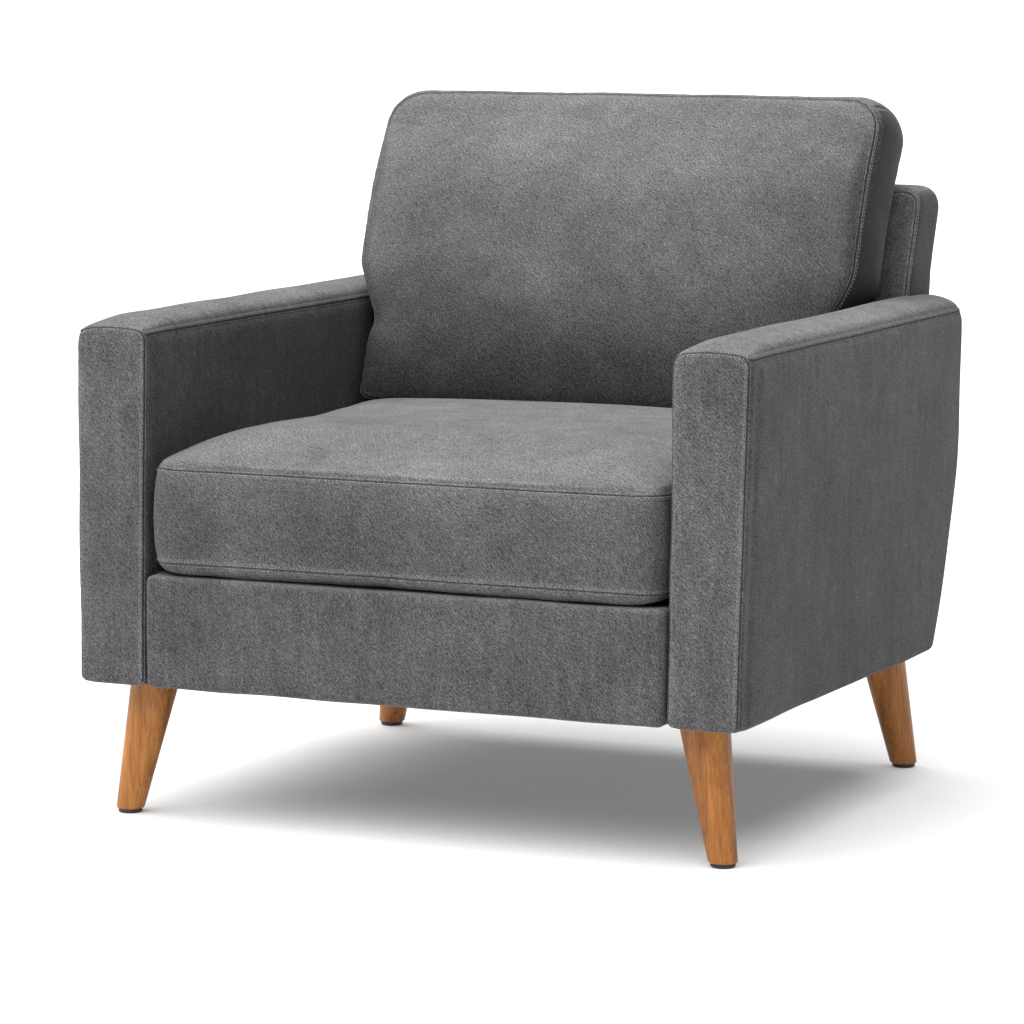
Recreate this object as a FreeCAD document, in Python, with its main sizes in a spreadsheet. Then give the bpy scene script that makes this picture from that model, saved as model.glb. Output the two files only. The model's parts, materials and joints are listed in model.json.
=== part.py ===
import FreeCAD, Part
import math
import os
import re
import Sketcher

from FreeCAD import Placement, Rotation, Vector

# Upholstered armchair in millimetres: +Z up, +X to the viewer's right of a chair that faces -Y.
# The origin is on the floor, under the middle of the chair's box.

DIMENSIONS = {
    # heights above the floor
    "glide_thick": 5,
    "plate_thick": 2,
    "base_height": 166,
    "deck_height": 299,
    "seat_bottom": 300,
    "seat_edge": 428,
    "seat_crown": 472,
    "arm_height": 589,
    "arm_crown": 13,
    "kink_height": 603,
    "back_height": 738,
    # widths from the middle plane, and depths from the middle of the chair
    "arm_inner": 335,
    "arm_outer": 432,
    "arm_outer_low": 425,
    "arm_front": -380,
    "arm_front_low": -394,
    "arm_rear": 339,
    "arm_rear_bend": 336,
    "arm_bend_height": 460,
    "arm_rear_low": 256,
    "arm_rear_bow": 13,
    "back_half": 380,
    "back_front": 266,
    "back_rear": 356,
    "kink_front": 281,
    "kink_rear": 360,
    "back_front_top": 332,
    "back_rear_top": 399,
    "back_corner": 24,
    "panel_front": -399,
    "panel_half": 334,
    # upholstery
    "cover": 2,
    "foam": 9,
    "web_room": 4,
    "web_thick": 1.4,
    "web_wide": 50,
    "deck_pad": 8,
    "deck_cloth": 1.5,
    "dust_cloth": 1,
    # timber
    "rail": 24,
    "rail_low": 172,
    "rail_high": 284,
    "panel": 4,
    "post": 30,
    "block": 62,
    # legs: radii, then where each pair's top and foot are
    "leg_top_radius": 30,
    "leg_foot_radius": 17,
    "leg_spare": 20,
    "front_leg_across": 357,
    "front_leg_along": -328,
    "rear_leg_across": 334,
    "rear_leg_along": 314,
    "leg_splay": 30,
    "leg_kick": 14,
    # fasteners
    "plate_side": 41,
    "hanger_radius": 4,
    "hanger_down": 30,
    "hanger_up": 34,
    "plate_screw_radius": 2,
    "plate_screw_long": 18,
    "plate_screw_across": 14,
    "bolt_radius": 4,
    "bolt_head_radius": 7.5,
    "bolt_head_thick": 4,
    "bolt_clearance": 0.3,
    # springs
    "spring_count": 6,
    "spring_wire": 3.6,
    "spring_wide": 46,
    "spring_bends": 26,
    "spring_level": 286.2,
    "clip_long": 16,
    # seat cushion
    "seat_half": 330,
    "seat_front": -394,
    "seat_rear": 259,
    "seat_low_rear": 456,
    "seat_corner": 20,
    # back cushion, drawn upright and then leaned back by its rake
    "rest_half": 334,
    "rest_thick": 84,
    "rest_bulge": 30,
    "rest_tall": 374,
    "rest_corner": 55,
    "rest_rake": 20.7,
    "rest_gap": 3,
    "rest_low": 466,
    # zips
    "zip_half": 240,
    "zip_wide": 14,
    "zip_deep": 5,
    "tape_thick": 1.2,
    "slider_wide": 8,
    "slider_long": 12,
    "slider_thick": 2.6,
}

doc = FreeCAD.newDocument("Armchair")
sheet = doc.addObject("Spreadsheet::Sheet", "Dims")
for row, (alias, number) in enumerate(DIMENSIONS.items(), start=1):
    sheet.set(f"A{row}", alias)
    sheet.set(f"B{row}", str(number))
    sheet.setAlias(f"B{row}", alias)
doc.recompute()

nodes = {}


def cell(word):
    return "Dims." + word[0] if word[0] in DIMENSIONS else word[0]


def bound(text):
    """The expression with each dimension's name pointed at its cell."""
    return re.sub(r"[a-z][a-z_]*", cell, str(text))


def value(text):
    return float(sheet.evalExpression(bound(text)))


def bind(thing, **expressions):
    for name, text in expressions.items():
        thing.setExpression(name.replace("__", "."), bound(text))


def place(thing, across="0", along="0", up="0", rotation=None):
    if rotation is not None:
        thing.Placement = Placement(Vector(), rotation)
    bind(thing, Placement__Base__x=across, Placement__Base__y=along, Placement__Base__z=up)


def keep(label, thing):
    """Marks an object as a finished sub-part of the chair."""
    thing.Label = label
    nodes[label] = thing
    return thing


# ---------------------------------------------------------------- primitives and booleans


def block(spans, name="Block"):
    """Box from three (low, high) pairs of expressions."""
    thing = doc.addObject("Part::Box", name)
    (x0, x1), (y0, y1), (z0, z1) = spans
    bind(thing, Length=f"({x1}) - ({x0})", Width=f"({y1}) - ({y0})", Height=f"({z1}) - ({z0})")
    place(thing, x0, y0, z0)
    return thing


def rod(across, along, up, radius, length, rotation=None):
    """Cylinder that starts at a point and runs up, or along the rotated axis."""
    thing = doc.addObject("Part::Cylinder", "Rod")
    bind(thing, Radius=radius, Height=length)
    place(thing, across, along, up, rotation)
    return thing


ALONG_X = Rotation(Vector(0, 1, 0), 90)
ALONG_Y = Rotation(Vector(1, 0, 0), -90)
WHOLE = ("-500", "500")  # a span longer than the chair is wide or deep


def cut(base, tool):
    thing = doc.addObject("Part::Cut", "Cut")
    thing.Base = base
    thing.Tool = tool
    return thing


def overlap(first, second):
    thing = doc.addObject("Part::Common", "Common")
    thing.Base = first
    thing.Tool = second
    return thing


def fuse(*pieces):
    thing = doc.addObject("Part::MultiFuse", "Fuse")
    thing.Shapes = list(pieces)
    return thing


def group(pieces):
    """Separate solids that share one node."""
    thing = doc.addObject("Part::Compound", "Group")
    thing.Links = list(pieces)
    return thing


def mirror(source):
    thing = doc.addObject("Part::Mirroring", "Mirror")
    thing.Source = source
    thing.Normal = (1, 0, 0)
    return thing


def both_sides(name, thing):
    """Keeps a piece of the right-hand side and its mirror image."""
    keep(name + "_right", thing)
    keep(name + "_left", mirror(thing))


# ---------------------------------------------------------------- sketches and bodies


def new_body(name):
    return doc.addObject("PartDesign::Body", name)


def sketch_on(body, role, offset="0"):
    sketch = body.newObject("Sketcher::SketchObject", "Sketch")
    plane = [item for item in body.Origin.OriginFeatures if item.Role == role][0]
    sketch.AttachmentSupport = [(plane, "")]
    sketch.MapMode = "FlatFace"
    bind(sketch, AttachmentOffset__Base__z=offset)
    return sketch


def constrain(sketch, kind, places, text):
    index = sketch.addConstraint(Sketcher.Constraint(kind, *places, value(text)))
    sketch.setExpression(f"Constraints[{index}]", bound(text))


def draw_outline(sketch, corners):
    """Closed outline, anticlockwise. A corner's third entry is the rise of the arc to the next corner."""
    spots = [Vector(value(corner[0]), value(corner[1]), 0) for corner in corners]
    ids = []
    for index, corner in enumerate(corners):
        start = spots[index]
        end = spots[(index + 1) % len(corners)]
        if len(corner) == 3:
            run = end - start
            outward = Vector(run.y, -run.x, 0).normalize()
            middle = (start + end) * 0.5 + outward * value(corner[2])
            ids.append(sketch.addGeometry(Part.Arc(start, middle, end), False))
        else:
            ids.append(sketch.addGeometry(Part.LineSegment(start, end), False))
    for index, corner in enumerate(corners):
        after = corners[(index + 1) % len(corners)]
        sketch.addConstraint(
            Sketcher.Constraint("Coincident", ids[index], 2, ids[(index + 1) % len(ids)], 1)
        )
        constrain(sketch, "DistanceX", (-1, 1, ids[index], 1), corner[0])
        constrain(sketch, "DistanceY", (-1, 1, ids[index], 1), corner[1])
        if len(corner) == 3:
            run_x = f"(({after[0]}) - ({corner[0]}))"
            run_y = f"(({after[1]}) - ({corner[1]}))"
            radius = f"({run_x}^2 + {run_y}^2) / (8 * ({corner[2]})) + ({corner[2]}) / 2"
            constrain(sketch, "Radius", (ids[index],), radius)


def rectangle(low_x, low_y, high_x, high_y):
    return [(low_x, low_y), (high_x, low_y), (high_x, high_y), (low_x, high_y)]


def pad(body, sketch, length, symmetric=False):
    feature = body.newObject("PartDesign::Pad", "Pad")
    feature.Profile = sketch
    bind(feature, Length=length)
    if symmetric:
        feature.SideType = "Symmetric"
    return feature


def trim_to(body, role, corners, reach):
    """Keeps only what lies inside an outline, seen square to the given plane."""
    doc.recompute()
    before = body.Shape.Volume
    sketch = sketch_on(body, role)
    draw_outline(sketch, rectangle(f"-({reach})", f"-({reach})", reach, reach))
    draw_outline(sketch, corners)
    feature = body.newObject("PartDesign::Pocket", "Trim")
    feature.Profile = sketch
    feature.SideType = "Symmetric"
    bind(feature, Length=f"2 * ({reach})")
    doc.recompute()
    assert body.Shape.Volume < before, body.Name


def round_edges(body, radius, wanted):
    """Fillets the edges that the test picks by their two end points."""
    doc.recompute()
    base = body.Tip
    names = [
        f"Edge{index}"
        for index, edge in enumerate(base.Shape.Edges, start=1)
        if len(edge.Vertexes) == 2 and wanted(edge.Vertexes[0].Point, edge.Vertexes[1].Point)
    ]
    assert names, body.Name
    feature = body.newObject("PartDesign::Fillet", "Fillet")
    feature.Base = (base, names)
    bind(feature, Radius=radius)
    return feature


def revolve(body, corners):
    sketch = sketch_on(body, "XZ_Plane")
    draw_outline(sketch, corners)
    feature = body.newObject("PartDesign::Revolution", "Turned")
    feature.Profile = sketch
    feature.ReferenceAxis = (sketch, ["V_Axis"])
    feature.Angle = 360
    return feature


# ---------------------------------------------------------------- legs and their fittings

LEG_TOP = "base_height - plate_thick"
LEG_RISE = "(base_height - glide_thick)"
PAIRS = {"front": ("front_leg_across", "front_leg_along", "-leg_kick"),
         "rear": ("rear_leg_across", "rear_leg_along", "leg_kick")}


def turned_leg(across, along, kick):
    """Round tapered leg, leaning outwards, cut level at its top and at its foot."""
    body = new_body("Leg")
    lean = Vector(value("leg_splay"), value(kick), -value(LEG_RISE))
    long = f"sqrt(leg_splay^2 + leg_kick^2 + {LEG_RISE}^2)"
    spread = f"leg_spare * (leg_top_radius - leg_foot_radius) / {long}"
    revolve(
        body,
        [
            ("0", "-leg_spare"),
            (f"leg_top_radius + {spread}", "-leg_spare"),
            (f"leg_foot_radius - {spread}", f"{long} + leg_spare"),
            ("0", f"{long} + leg_spare"),
        ],
    )
    place(body, across, along, "base_height", Rotation(Vector(0, 0, 1), lean))
    slab = block((WHOLE, WHOLE, ("glide_thick", LEG_TOP)))
    bore = rod(across, along, f"{LEG_TOP} - hanger_down", "hanger_radius", "hanger_down")
    return cut(overlap(body, slab), bore)


def glide(across, along, kick):
    """Nylon glide under a foot, with a chamfered rim."""
    body = new_body("Glide")
    revolve(
        body,
        [
            ("0", "0"),
            ("leg_foot_radius - 4", "0"),
            ("leg_foot_radius - 2.5", "1.5"),
            ("leg_foot_radius - 2.5", "glide_thick"),
            ("0", "glide_thick"),
        ],
    )
    place(body, f"{across} + leg_splay", f"{along} + {kick}", "0")
    return body


def at_corners(piece):
    """One of a fitting at each of the four legs."""
    pieces = []
    for across, along, _ in PAIRS.values():
        for side in ("", "-"):
            pieces += piece(side + across, along)
    return group(pieces)


SCREW_SPOTS = [(side, end) for side in ("-", "+") for end in ("-", "+")]


def plate(across, along):
    """Steel plate with a bore for the hanger bolt and four screw holes."""
    body = new_body("Plate")
    sketch = sketch_on(body, "XY_Plane")
    half = "plate_side / 2"
    draw_outline(sketch, rectangle(f"-{half}", f"-{half}", half, half))
    pad(body, sketch, "plate_thick")
    place(body, across, along, LEG_TOP)
    bores = [rod(across, along, f"{LEG_TOP} - 1", "hanger_radius", "plate_thick + 2")]
    for side, end in SCREW_SPOTS:
        spot = (f"{across} {side} plate_screw_across", f"{along} {end} plate_screw_across")
        bores.append(rod(*spot, f"{LEG_TOP} - 1", "plate_screw_radius", "plate_thick + 2"))
    return [cut(body, group(bores))]


def hanger_bolt(across, along):
    return [rod(across, along, f"{LEG_TOP} - hanger_down", "hanger_radius", "hanger_down + hanger_up")]


def plate_screws(across, along):
    return [
        rod(f"{across} {side} plate_screw_across", f"{along} {end} plate_screw_across",
            LEG_TOP, "plate_screw_radius", "plate_screw_long")
        for side, end in SCREW_SPOTS
    ]


def fitting_bores(across, along):
    """Clearance round a leg's bolt and screws through whatever lies above the plate."""
    bores = [rod(across, along, "base_height - 1", "hanger_radius", "hanger_up + 1")]
    for side, end in SCREW_SPOTS:
        spot = (f"{across} {side} plate_screw_across", f"{along} {end} plate_screw_across")
        bores.append(rod(*spot, "base_height - 1", "plate_screw_radius", "plate_screw_long"))
    return bores


legs_bores = at_corners(fitting_bores)
for pair, (across, along, kick) in PAIRS.items():
    both_sides(f"leg_{pair}", turned_leg(across, along, kick))
glides = [glide(*pair) for pair in PAIRS.values()]
keep("leg_glides", group(glides + [mirror(piece) for piece in glides]))
keep("leg_plates", at_corners(plate))
keep("leg_hanger_bolts", at_corners(hanger_bolt))
keep("leg_plate_screws", at_corners(plate_screws))


# ---------------------------------------------------------------- seat frame, springs and deck

FRAME_FRONT = "panel_front + cover + foam"
SIDE_RAIL = ("panel_half - rail", "panel_half")
RAIL_LEVELS = ("rail_low", "rail_high")
FRONT_RAIL_BACK = f"({FRAME_FRONT} + rail)"
REAR_RAIL_FRONT = "(back_front - rail)"
BOLT_LEVEL = "(rail_low + 28)"
ARM_BOLTS = ("-290", "170")
BACK_BOLTS = ("-220", "0", "220")


def arm_bolt_bores():
    """Bores for the bolts that hold both arms to the side rails."""
    radius = "bolt_radius + bolt_clearance"
    return [
        rod("panel_half - rail - 1", along, BOLT_LEVEL, radius, "rail + 70", ALONG_X)
        for along in ARM_BOLTS
    ]


def back_bolt_bores():
    """Bores for the bolts that hold the back to the rear rail."""
    radius = "bolt_radius + bolt_clearance"
    return [
        rod(across, f"{REAR_RAIL_FRONT} - 1", BOLT_LEVEL, radius, "rail + 50", ALONG_Y)
        for across in BACK_BOLTS
    ]


arm_bores = group(arm_bolt_bores())
back_bores = group(back_bolt_bores())


def side_bolt(along):
    """Bolt with a round head inside the side rail."""
    length = "rail + cover + foam + 40"
    shank = rod("panel_half - rail - 2", along, BOLT_LEVEL, "bolt_radius", length, ALONG_X)
    head = rod("panel_half - rail - bolt_head_thick", along, BOLT_LEVEL,
               "bolt_head_radius", "bolt_head_thick", ALONG_X)
    return fuse(shank, head)


def rear_bolt(across):
    length = "rail + cover + foam + 22"
    shank = rod(across, f"{REAR_RAIL_FRONT} - 2", BOLT_LEVEL, "bolt_radius", length, ALONG_Y)
    head = rod(across, f"{REAR_RAIL_FRONT} - bolt_head_thick", BOLT_LEVEL,
               "bolt_head_radius", "bolt_head_thick", ALONG_Y)
    return fuse(shank, head)


def corner_block(along, inward):
    """Triangular glue block in a corner of the seat frame."""
    body = new_body("Block")
    sketch = sketch_on(body, "XY_Plane", "rail_low + 50")
    corners = [
        ("panel_half - rail", along),
        ("panel_half - rail", f"{along} {inward} block"),
        ("panel_half - rail - block", along),
    ]
    if inward == "-":
        corners.reverse()
    draw_outline(sketch, corners)
    pad(body, sketch, "rail_high - rail_low - 60")
    return body


def sinuous_spring():
    """One zigzag wire from the front rail to the rear rail."""
    radius = value("spring_wire") / 2
    half = value("spring_wide") / 2
    front = value(FRONT_RAIL_BACK) - value("clip_long") + radius
    bends = int(value("spring_bends"))
    pitch = (value(REAR_RAIL_FRONT) + value("clip_long") - radius - front) / bends
    bend = pitch / 2
    level = value("spring_level")
    edges = []
    for turn in range(bends):
        side = 1 if turn % 2 else -1
        y = front + turn * pitch
        start = Vector(-side * (half - bend), y, level)
        end = Vector(side * (half - bend), y, level)
        edges.append(Part.LineSegment(start, end).toShape())
        top = end + Vector(0, pitch, 0)
        middle = end + Vector(side * bend, bend, 0)
        edges.append(Part.Arc(end, middle, top).toShape())
    path = Part.Wire(edges)
    circle = Part.Circle(path.OrderedVertexes[0].Point, Vector(-1, 0, 0), radius).toShape()
    return path.makePipeShell([Part.Wire(circle)], True, True)


def clip(across, along):
    """Flat steel clip over a spring's end."""
    low = "spring_level + spring_wire / 2"
    return block(((f"{across} - 12", f"{across} + 12"), along, (low, f"{low} + 1.2")))


side_rail = block((SIDE_RAIL, (FRONT_RAIL_BACK, REAR_RAIL_FRONT), RAIL_LEVELS))
both_sides("seat_side_rail", cut(side_rail, arm_bores))
front_rail_span = ("-panel_half + cover", "panel_half - cover")
front_rail = block((front_rail_span, (FRAME_FRONT, FRONT_RAIL_BACK), RAIL_LEVELS))
keep("seat_front_rail", front_rail)
rear_rail = block((("-panel_half", "panel_half"), (REAR_RAIL_FRONT, "back_front"), RAIL_LEVELS))
keep("seat_rear_rail", cut(rear_rail, back_bores))
blocks = [corner_block(FRONT_RAIL_BACK, "+"), corner_block(REAR_RAIL_FRONT, "-")]
keep("seat_corner_blocks", group(blocks + [mirror(piece) for piece in blocks]))

spring_count = int(value("spring_count"))
spring_step = 2 * (value("panel_half") - value("rail")) / spring_count
spring_places = [spring_step * (index - (spring_count - 1) / 2) for index in range(spring_count)]
springs = doc.addObject("Part::Feature", "Springs")
one_spring = sinuous_spring()
springs.Shape = Part.makeCompound([one_spring.translated(Vector(x, 0, 0)) for x in spring_places])
springs.Placement = Placement()
keep("sinuous_springs", springs)
clip_ends = [(f"{FRONT_RAIL_BACK} - clip_long", FRONT_RAIL_BACK),
             (REAR_RAIL_FRONT, f"{REAR_RAIL_FRONT} + clip_long")]
keep("spring_clips", group([clip(x, ends) for x in spring_places for ends in clip_ends]))

DECK = (("-panel_half", "panel_half"), (FRONT_RAIL_BACK, "back_front - 1"))
keep("seat_deck_pad", block((*DECK, ("deck_height - deck_cloth - deck_pad", "deck_height - deck_cloth"))))
keep("seat_deck_cover", block((*DECK, ("deck_height - deck_cloth", "deck_height"))))

DUST_COVER = (("-back_half + 8", "back_half - 8"), ("arm_front_low + 20", "back_rear - 14"))
dust_cover = block((*DUST_COVER, ("base_height", "base_height + dust_cloth")))
keep("dust_cover", cut(dust_cover, legs_bores))


def front_panel(inset, back):
    """Upholstered front of the seat frame, seen in side section and drawn across the chair."""
    body = new_body("Panel")
    sketch = sketch_on(body, "YZ_Plane")
    corners = [
        (f"panel_front + {inset}", f"base_height + 1 + {inset}"),
        (back, f"base_height + 1 + {inset}"),
        (back, f"deck_height - {inset}"),
        (f"panel_front + 8 + {inset}", f"deck_height - {inset}", "3"),
        (f"panel_front + {inset}", f"deck_height - 8 - {inset}"),
    ]
    draw_outline(sketch, corners)
    pad(body, sketch, f"2 * (panel_half - {inset})", symmetric=True)
    return body


panel_shape = front_panel("0", FRONT_RAIL_BACK)
keep("front_panel_cover", cut(panel_shape, front_panel("cover", "0")))
rail_hollow = block((WHOLE, (FRAME_FRONT, "0"), ("base_height", "rail_high + 6")))
keep("front_panel_foam", cut(front_panel("cover", FRONT_RAIL_BACK), rail_hollow))


# ---------------------------------------------------------------- arms


def arm_shape(inset):
    """Arm from its front section and its side outline, notched where the back stands."""
    body = new_body("Arm")
    section = sketch_on(body, "XZ_Plane", "-400")
    corners = [
        (f"arm_inner + {inset}", f"base_height + 1 + {inset}"),
        (f"arm_outer_low - {inset}", f"base_height + 1 + {inset}"),
        (f"arm_outer - {inset}", f"arm_height - {inset}", "arm_crown"),
        (f"arm_inner + {inset}", f"arm_height - {inset}"),
    ]
    draw_outline(section, corners)
    pad(body, section, "800")
    side = [
        (f"arm_front_low + {inset}", "100"),
        (f"arm_rear_low - {inset}", "100"),
        (f"arm_rear_low - {inset}", "base_height", "arm_rear_bow"),
        (f"arm_rear_bend - {inset}", "arm_bend_height"),
        (f"arm_rear - {inset}", "arm_height"),
        (f"arm_rear - {inset}", "650"),
        (f"arm_front + {inset}", "650"),
        (f"arm_front + {inset}", "arm_height"),
    ]
    trim_to(body, "YZ_Plane", side, "1200")
    notch = block(
        (("0", f"back_half + 1 + {inset}"), (f"back_front - 1 - {inset}", "500"), ("0", "700")), "Notch"
    )
    return cut(body, notch)


ARM_CORE_X = ("arm_inner + cover + foam", "arm_outer_low - cover - 4")
ARM_CORE_Y = ("arm_front + cover + foam", "back_front - cover - foam")
ARM_CORE_Z = ("base_height + 3", "arm_height - cover - 12")
arm_outside = arm_shape("0")
arm_inside = arm_shape("cover")
arm_hollow = block((ARM_CORE_X, ARM_CORE_Y, ARM_CORE_Z))
both_sides("arm_cover", cut(cut(cut(arm_outside, arm_inside), arm_bores), legs_bores))
both_sides("arm_foam", cut(cut(cut(arm_inside, arm_hollow), arm_bores), legs_bores))


def arm_timber(x, y, z):
    return cut(cut(block((x, y, z)), arm_bores), legs_bores)


STUD_X = (f"{ARM_CORE_X[0]} + panel", f"{ARM_CORE_X[1]} - panel")
STUD_Z = (f"{ARM_CORE_Z[0]} + post", f"{ARM_CORE_Z[1]} - post")
both_sides("arm_bottom_rail", arm_timber(STUD_X, ARM_CORE_Y, (ARM_CORE_Z[0], f"{ARM_CORE_Z[0]} + post")))
both_sides("arm_top_rail", arm_timber(STUD_X, ARM_CORE_Y, (f"{ARM_CORE_Z[1]} - post", ARM_CORE_Z[1])))
both_sides("arm_front_post", arm_timber(STUD_X, (ARM_CORE_Y[0], f"{ARM_CORE_Y[0]} + post"), STUD_Z))
both_sides("arm_rear_post", arm_timber(STUD_X, (f"{ARM_CORE_Y[1]} - post", ARM_CORE_Y[1]), STUD_Z))
both_sides("arm_inner_panel", arm_timber((ARM_CORE_X[0], STUD_X[0]), ARM_CORE_Y, ARM_CORE_Z))
both_sides("arm_outer_panel", arm_timber((STUD_X[1], ARM_CORE_X[1]), ARM_CORE_Y, ARM_CORE_Z))
side_bolts = [side_bolt(along) for along in ARM_BOLTS]
keep("arm_bolts", group(side_bolts + [mirror(piece) for piece in side_bolts]))


# ---------------------------------------------------------------- back


def back_profile(inset, low="base_height + 1"):
    """Side outline of the back: upright below the arms, leaning back above them."""
    return [
        (f"back_front + {inset}", f"{low} + {inset}"),
        (f"back_rear - {inset}", f"{low} + {inset}"),
        (f"kink_rear - {inset}", "kink_height"),
        (f"back_rear_top - {inset}", f"back_height - 18 - {inset}"),
        (f"back_rear_top - 14 - {inset}", f"back_height - 2 - {inset}"),
        (f"back_front_top + {inset} * 0.7", f"back_height - {inset}"),
        (f"kink_front + {inset}", "kink_height"),
    ]


def back_shape(inset):
    body = new_body("Back")
    sketch = sketch_on(body, "YZ_Plane")
    draw_outline(sketch, back_profile(inset))
    pad(body, sketch, f"2 * (back_half - {inset})", symmetric=True)
    high = value("back_height") - 30

    def top_corner(first, second):
        level = abs(first.x - second.x) < 1 and min(first.z, second.z) > high
        return level and abs(first.y - second.y) > 20

    round_edges(body, f"back_corner - {inset}", top_corner)
    return body


back_outside = back_shape("0")
back_middle = back_shape("cover")
back_hollow = back_shape("(cover + foam)")
keep("back_cover", cut(cut(cut(back_outside, back_middle), legs_bores), back_bores))
keep("back_foam", cut(cut(cut(back_middle, back_hollow), legs_bores), back_bores))


def back_timber(spans):
    """Rail across the back, cut to the room inside the foam and set behind the webbing."""
    return cut(cut(overlap(block(spans), back_timber_room), legs_bores), back_bores)


def timber_room():
    """The part of the back's hollow that timber may fill."""
    body = new_body("Room")
    sketch = sketch_on(body, "YZ_Plane")
    inset = "(cover + foam)"
    corners = back_profile(inset)
    corners[0] = (f"back_front + {inset} + web_room", corners[0][1])
    corners[5] = (f"back_front_top + {inset} * 0.7 + web_room", corners[5][1])
    corners[6] = (f"kink_front + {inset} + web_room", corners[6][1])
    draw_outline(sketch, corners)
    pad(body, sketch, f"2 * (back_half - {inset})", symmetric=True)
    return overlap(body, back_hollow)


back_timber_room = timber_room()
POST_X = ("back_half - cover - foam - post", "back_half - cover - foam")
BETWEEN_POSTS = ("-back_half + cover + foam + post", "back_half - cover - foam - post")
DEPTH = ("0", "600")
both_sides("back_post", back_timber((POST_X, DEPTH, ("base_height", "760"))))
keep("back_bottom_rail", back_timber((BETWEEN_POSTS, DEPTH, ("base_height", "base_height + 70"))))
keep("back_middle_rail", back_timber((BETWEEN_POSTS, DEPTH, ("kink_height - 190", "kink_height - 140"))))
keep("back_top_rail", back_timber((BETWEEN_POSTS, DEPTH, ("back_height - 70", "760"))))


def web_band(level):
    """Elastic band across the front of the posts."""
    lean = "(kink_front - back_front) / (kink_height - base_height - 1)"
    front = f"back_front + cover + foam + ({level} + web_wide - base_height) * {lean} + 0.2"
    across = ("-back_half + cover + foam + 2", "back_half - cover - foam - 2")
    return block((across, (front, f"{front} + web_thick"), (level, f"{level} + web_wide")))


keep("back_webbing", group([web_band(f"{level}") for level in (270, 350, 430, 510)]))
keep("back_bolts", group([rear_bolt(across) for across in BACK_BOLTS]))


# ---------------------------------------------------------------- cushions and their zips


def seat_form(inset):
    """Boxed seat cushion: crowned on top, with a lower rear edge under the back cushion."""
    body = new_body("Seat")
    sketch = sketch_on(body, "YZ_Plane")
    corners = [
        (f"seat_front + 12 + {inset}", f"seat_bottom + {inset}"),
        (f"seat_rear - {inset}", f"seat_bottom + {inset}"),
        (f"seat_rear - {inset}", f"seat_low_rear - {inset}"),
        ("seat_rear - 140", f"seat_low_rear + 7 - {inset}"),
        ("0", f"seat_crown - {inset}"),
        ("-240", f"seat_crown - {inset}", "14"),
        (f"seat_front + {inset}", f"seat_edge - {inset}"),
        (f"seat_front + {inset}", f"seat_bottom + 16 + {inset}"),
    ]
    draw_outline(sketch, corners)
    pad(body, sketch, f"2 * (seat_half - {inset})", symmetric=True)
    front = value("seat_front") + 15

    def front_corner(first, second):
        upright = abs(first.x - second.x) < 1 and abs(first.y - second.y) < 1
        return upright and first.y < front

    round_edges(body, f"seat_corner - {inset}", front_corner)
    return body


def rest_form(inset):
    """Boxed back cushion, drawn upright: a flat rear face, a bulging front and a level seat when leaned."""
    body = new_body("Rest")
    sketch = sketch_on(body, "YZ_Plane")
    foot = "rest_thick * tan(rest_rake * 1 deg)"
    corners = [
        (f"-({inset})", f"{inset}"),
        (f"-({inset})", f"rest_tall - {inset}"),
        (f"-rest_thick + {inset}", f"rest_tall - {inset}", "rest_bulge"),
        (f"-rest_thick + {inset}", f"-{foot} + {inset}"),
    ]
    draw_outline(sketch, corners)
    pad(body, sketch, f"2 * (rest_half - {inset})", symmetric=True)
    high = value("rest_tall") - 10

    def top_corner(first, second):
        return abs(first.x - second.x) < 1 and min(first.z, second.z) > high

    round_edges(body, f"rest_corner - {inset}", top_corner)
    return body


def zip_block(face, level, wide, depths):
    """Long block on a zip's line in a cushion's rear face, from one depth to another below that face."""
    across = (f"-zip_half - ({wide})", f"zip_half + ({wide})")
    heights = (f"{level} - zip_wide / 2 - ({wide})", f"{level} + zip_wide / 2 + ({wide})")
    return block((across, (f"{face} - ({depths[0]})", f"{face} - ({depths[1]})"), heights))


def zip_slider(face, level):
    """Slider at the closed end of the zip, with its pull lying along the tape."""
    start = "-zip_half + 4"
    low = f"{face} - zip_deep + tape_thick + 0.3"
    half = "slider_wide / 2"
    heights = (f"{level} - {half}", f"{level} + {half}")
    box = block(((start, f"{start} + slider_long"), (low, f"{low} + slider_thick"), heights))
    pull_ends = (f"{start} + slider_long - 2", f"{start} + slider_long + 22")
    pull = block((pull_ends, (f"{low} + 0.8", f"{low} + 1.8"), (f"{level} - 2.5", f"{level} + 2.5")))
    eye = rod(f"{start} + slider_long + 18", f"{low} + 0.5", level, "1.4", "2", ALONG_Y)
    return cut(fuse(box, pull), eye)


def cushion(name, form, face, level, placement):
    """Cover, filling, zip tape and slider of a cushion whose zip runs along its rear face."""
    outside = form("0")
    inside = form("cover")
    filling = cut(inside, zip_block(face, level, "cover", ("zip_deep + cover", "-20")))
    pieces = {
        "cover": cut(cut(outside, zip_block(face, level, "0", ("zip_deep", "-20"))), filling),
        "filling": filling,
        "zip_tape": zip_block(face, level, "-0.2", ("zip_deep", "zip_deep - tape_thick")),
        "zip_slider": zip_slider(face, level),
    }
    for suffix, piece in pieces.items():
        leaned = group([piece])
        leaned.Placement = placement
        keep(f"{name}_{suffix}", leaned)


cushion("seat_cushion", seat_form, "seat_rear", "(seat_bottom + 70)", Placement())
rake = value("rest_rake")
rest_back = (
    value("kink_front")
    - value("rest_gap") / math.cos(math.radians(rake))
    - (value("kink_height") - value("rest_low")) * math.tan(math.radians(rake))
)
rest_place = Placement(Vector(0, rest_back, value("rest_low")), Rotation(Vector(1, 0, 0), -rake))
cushion("back_cushion", rest_form, "0", "40", rest_place)


# ---------------------------------------------------------------- checks and export

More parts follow.
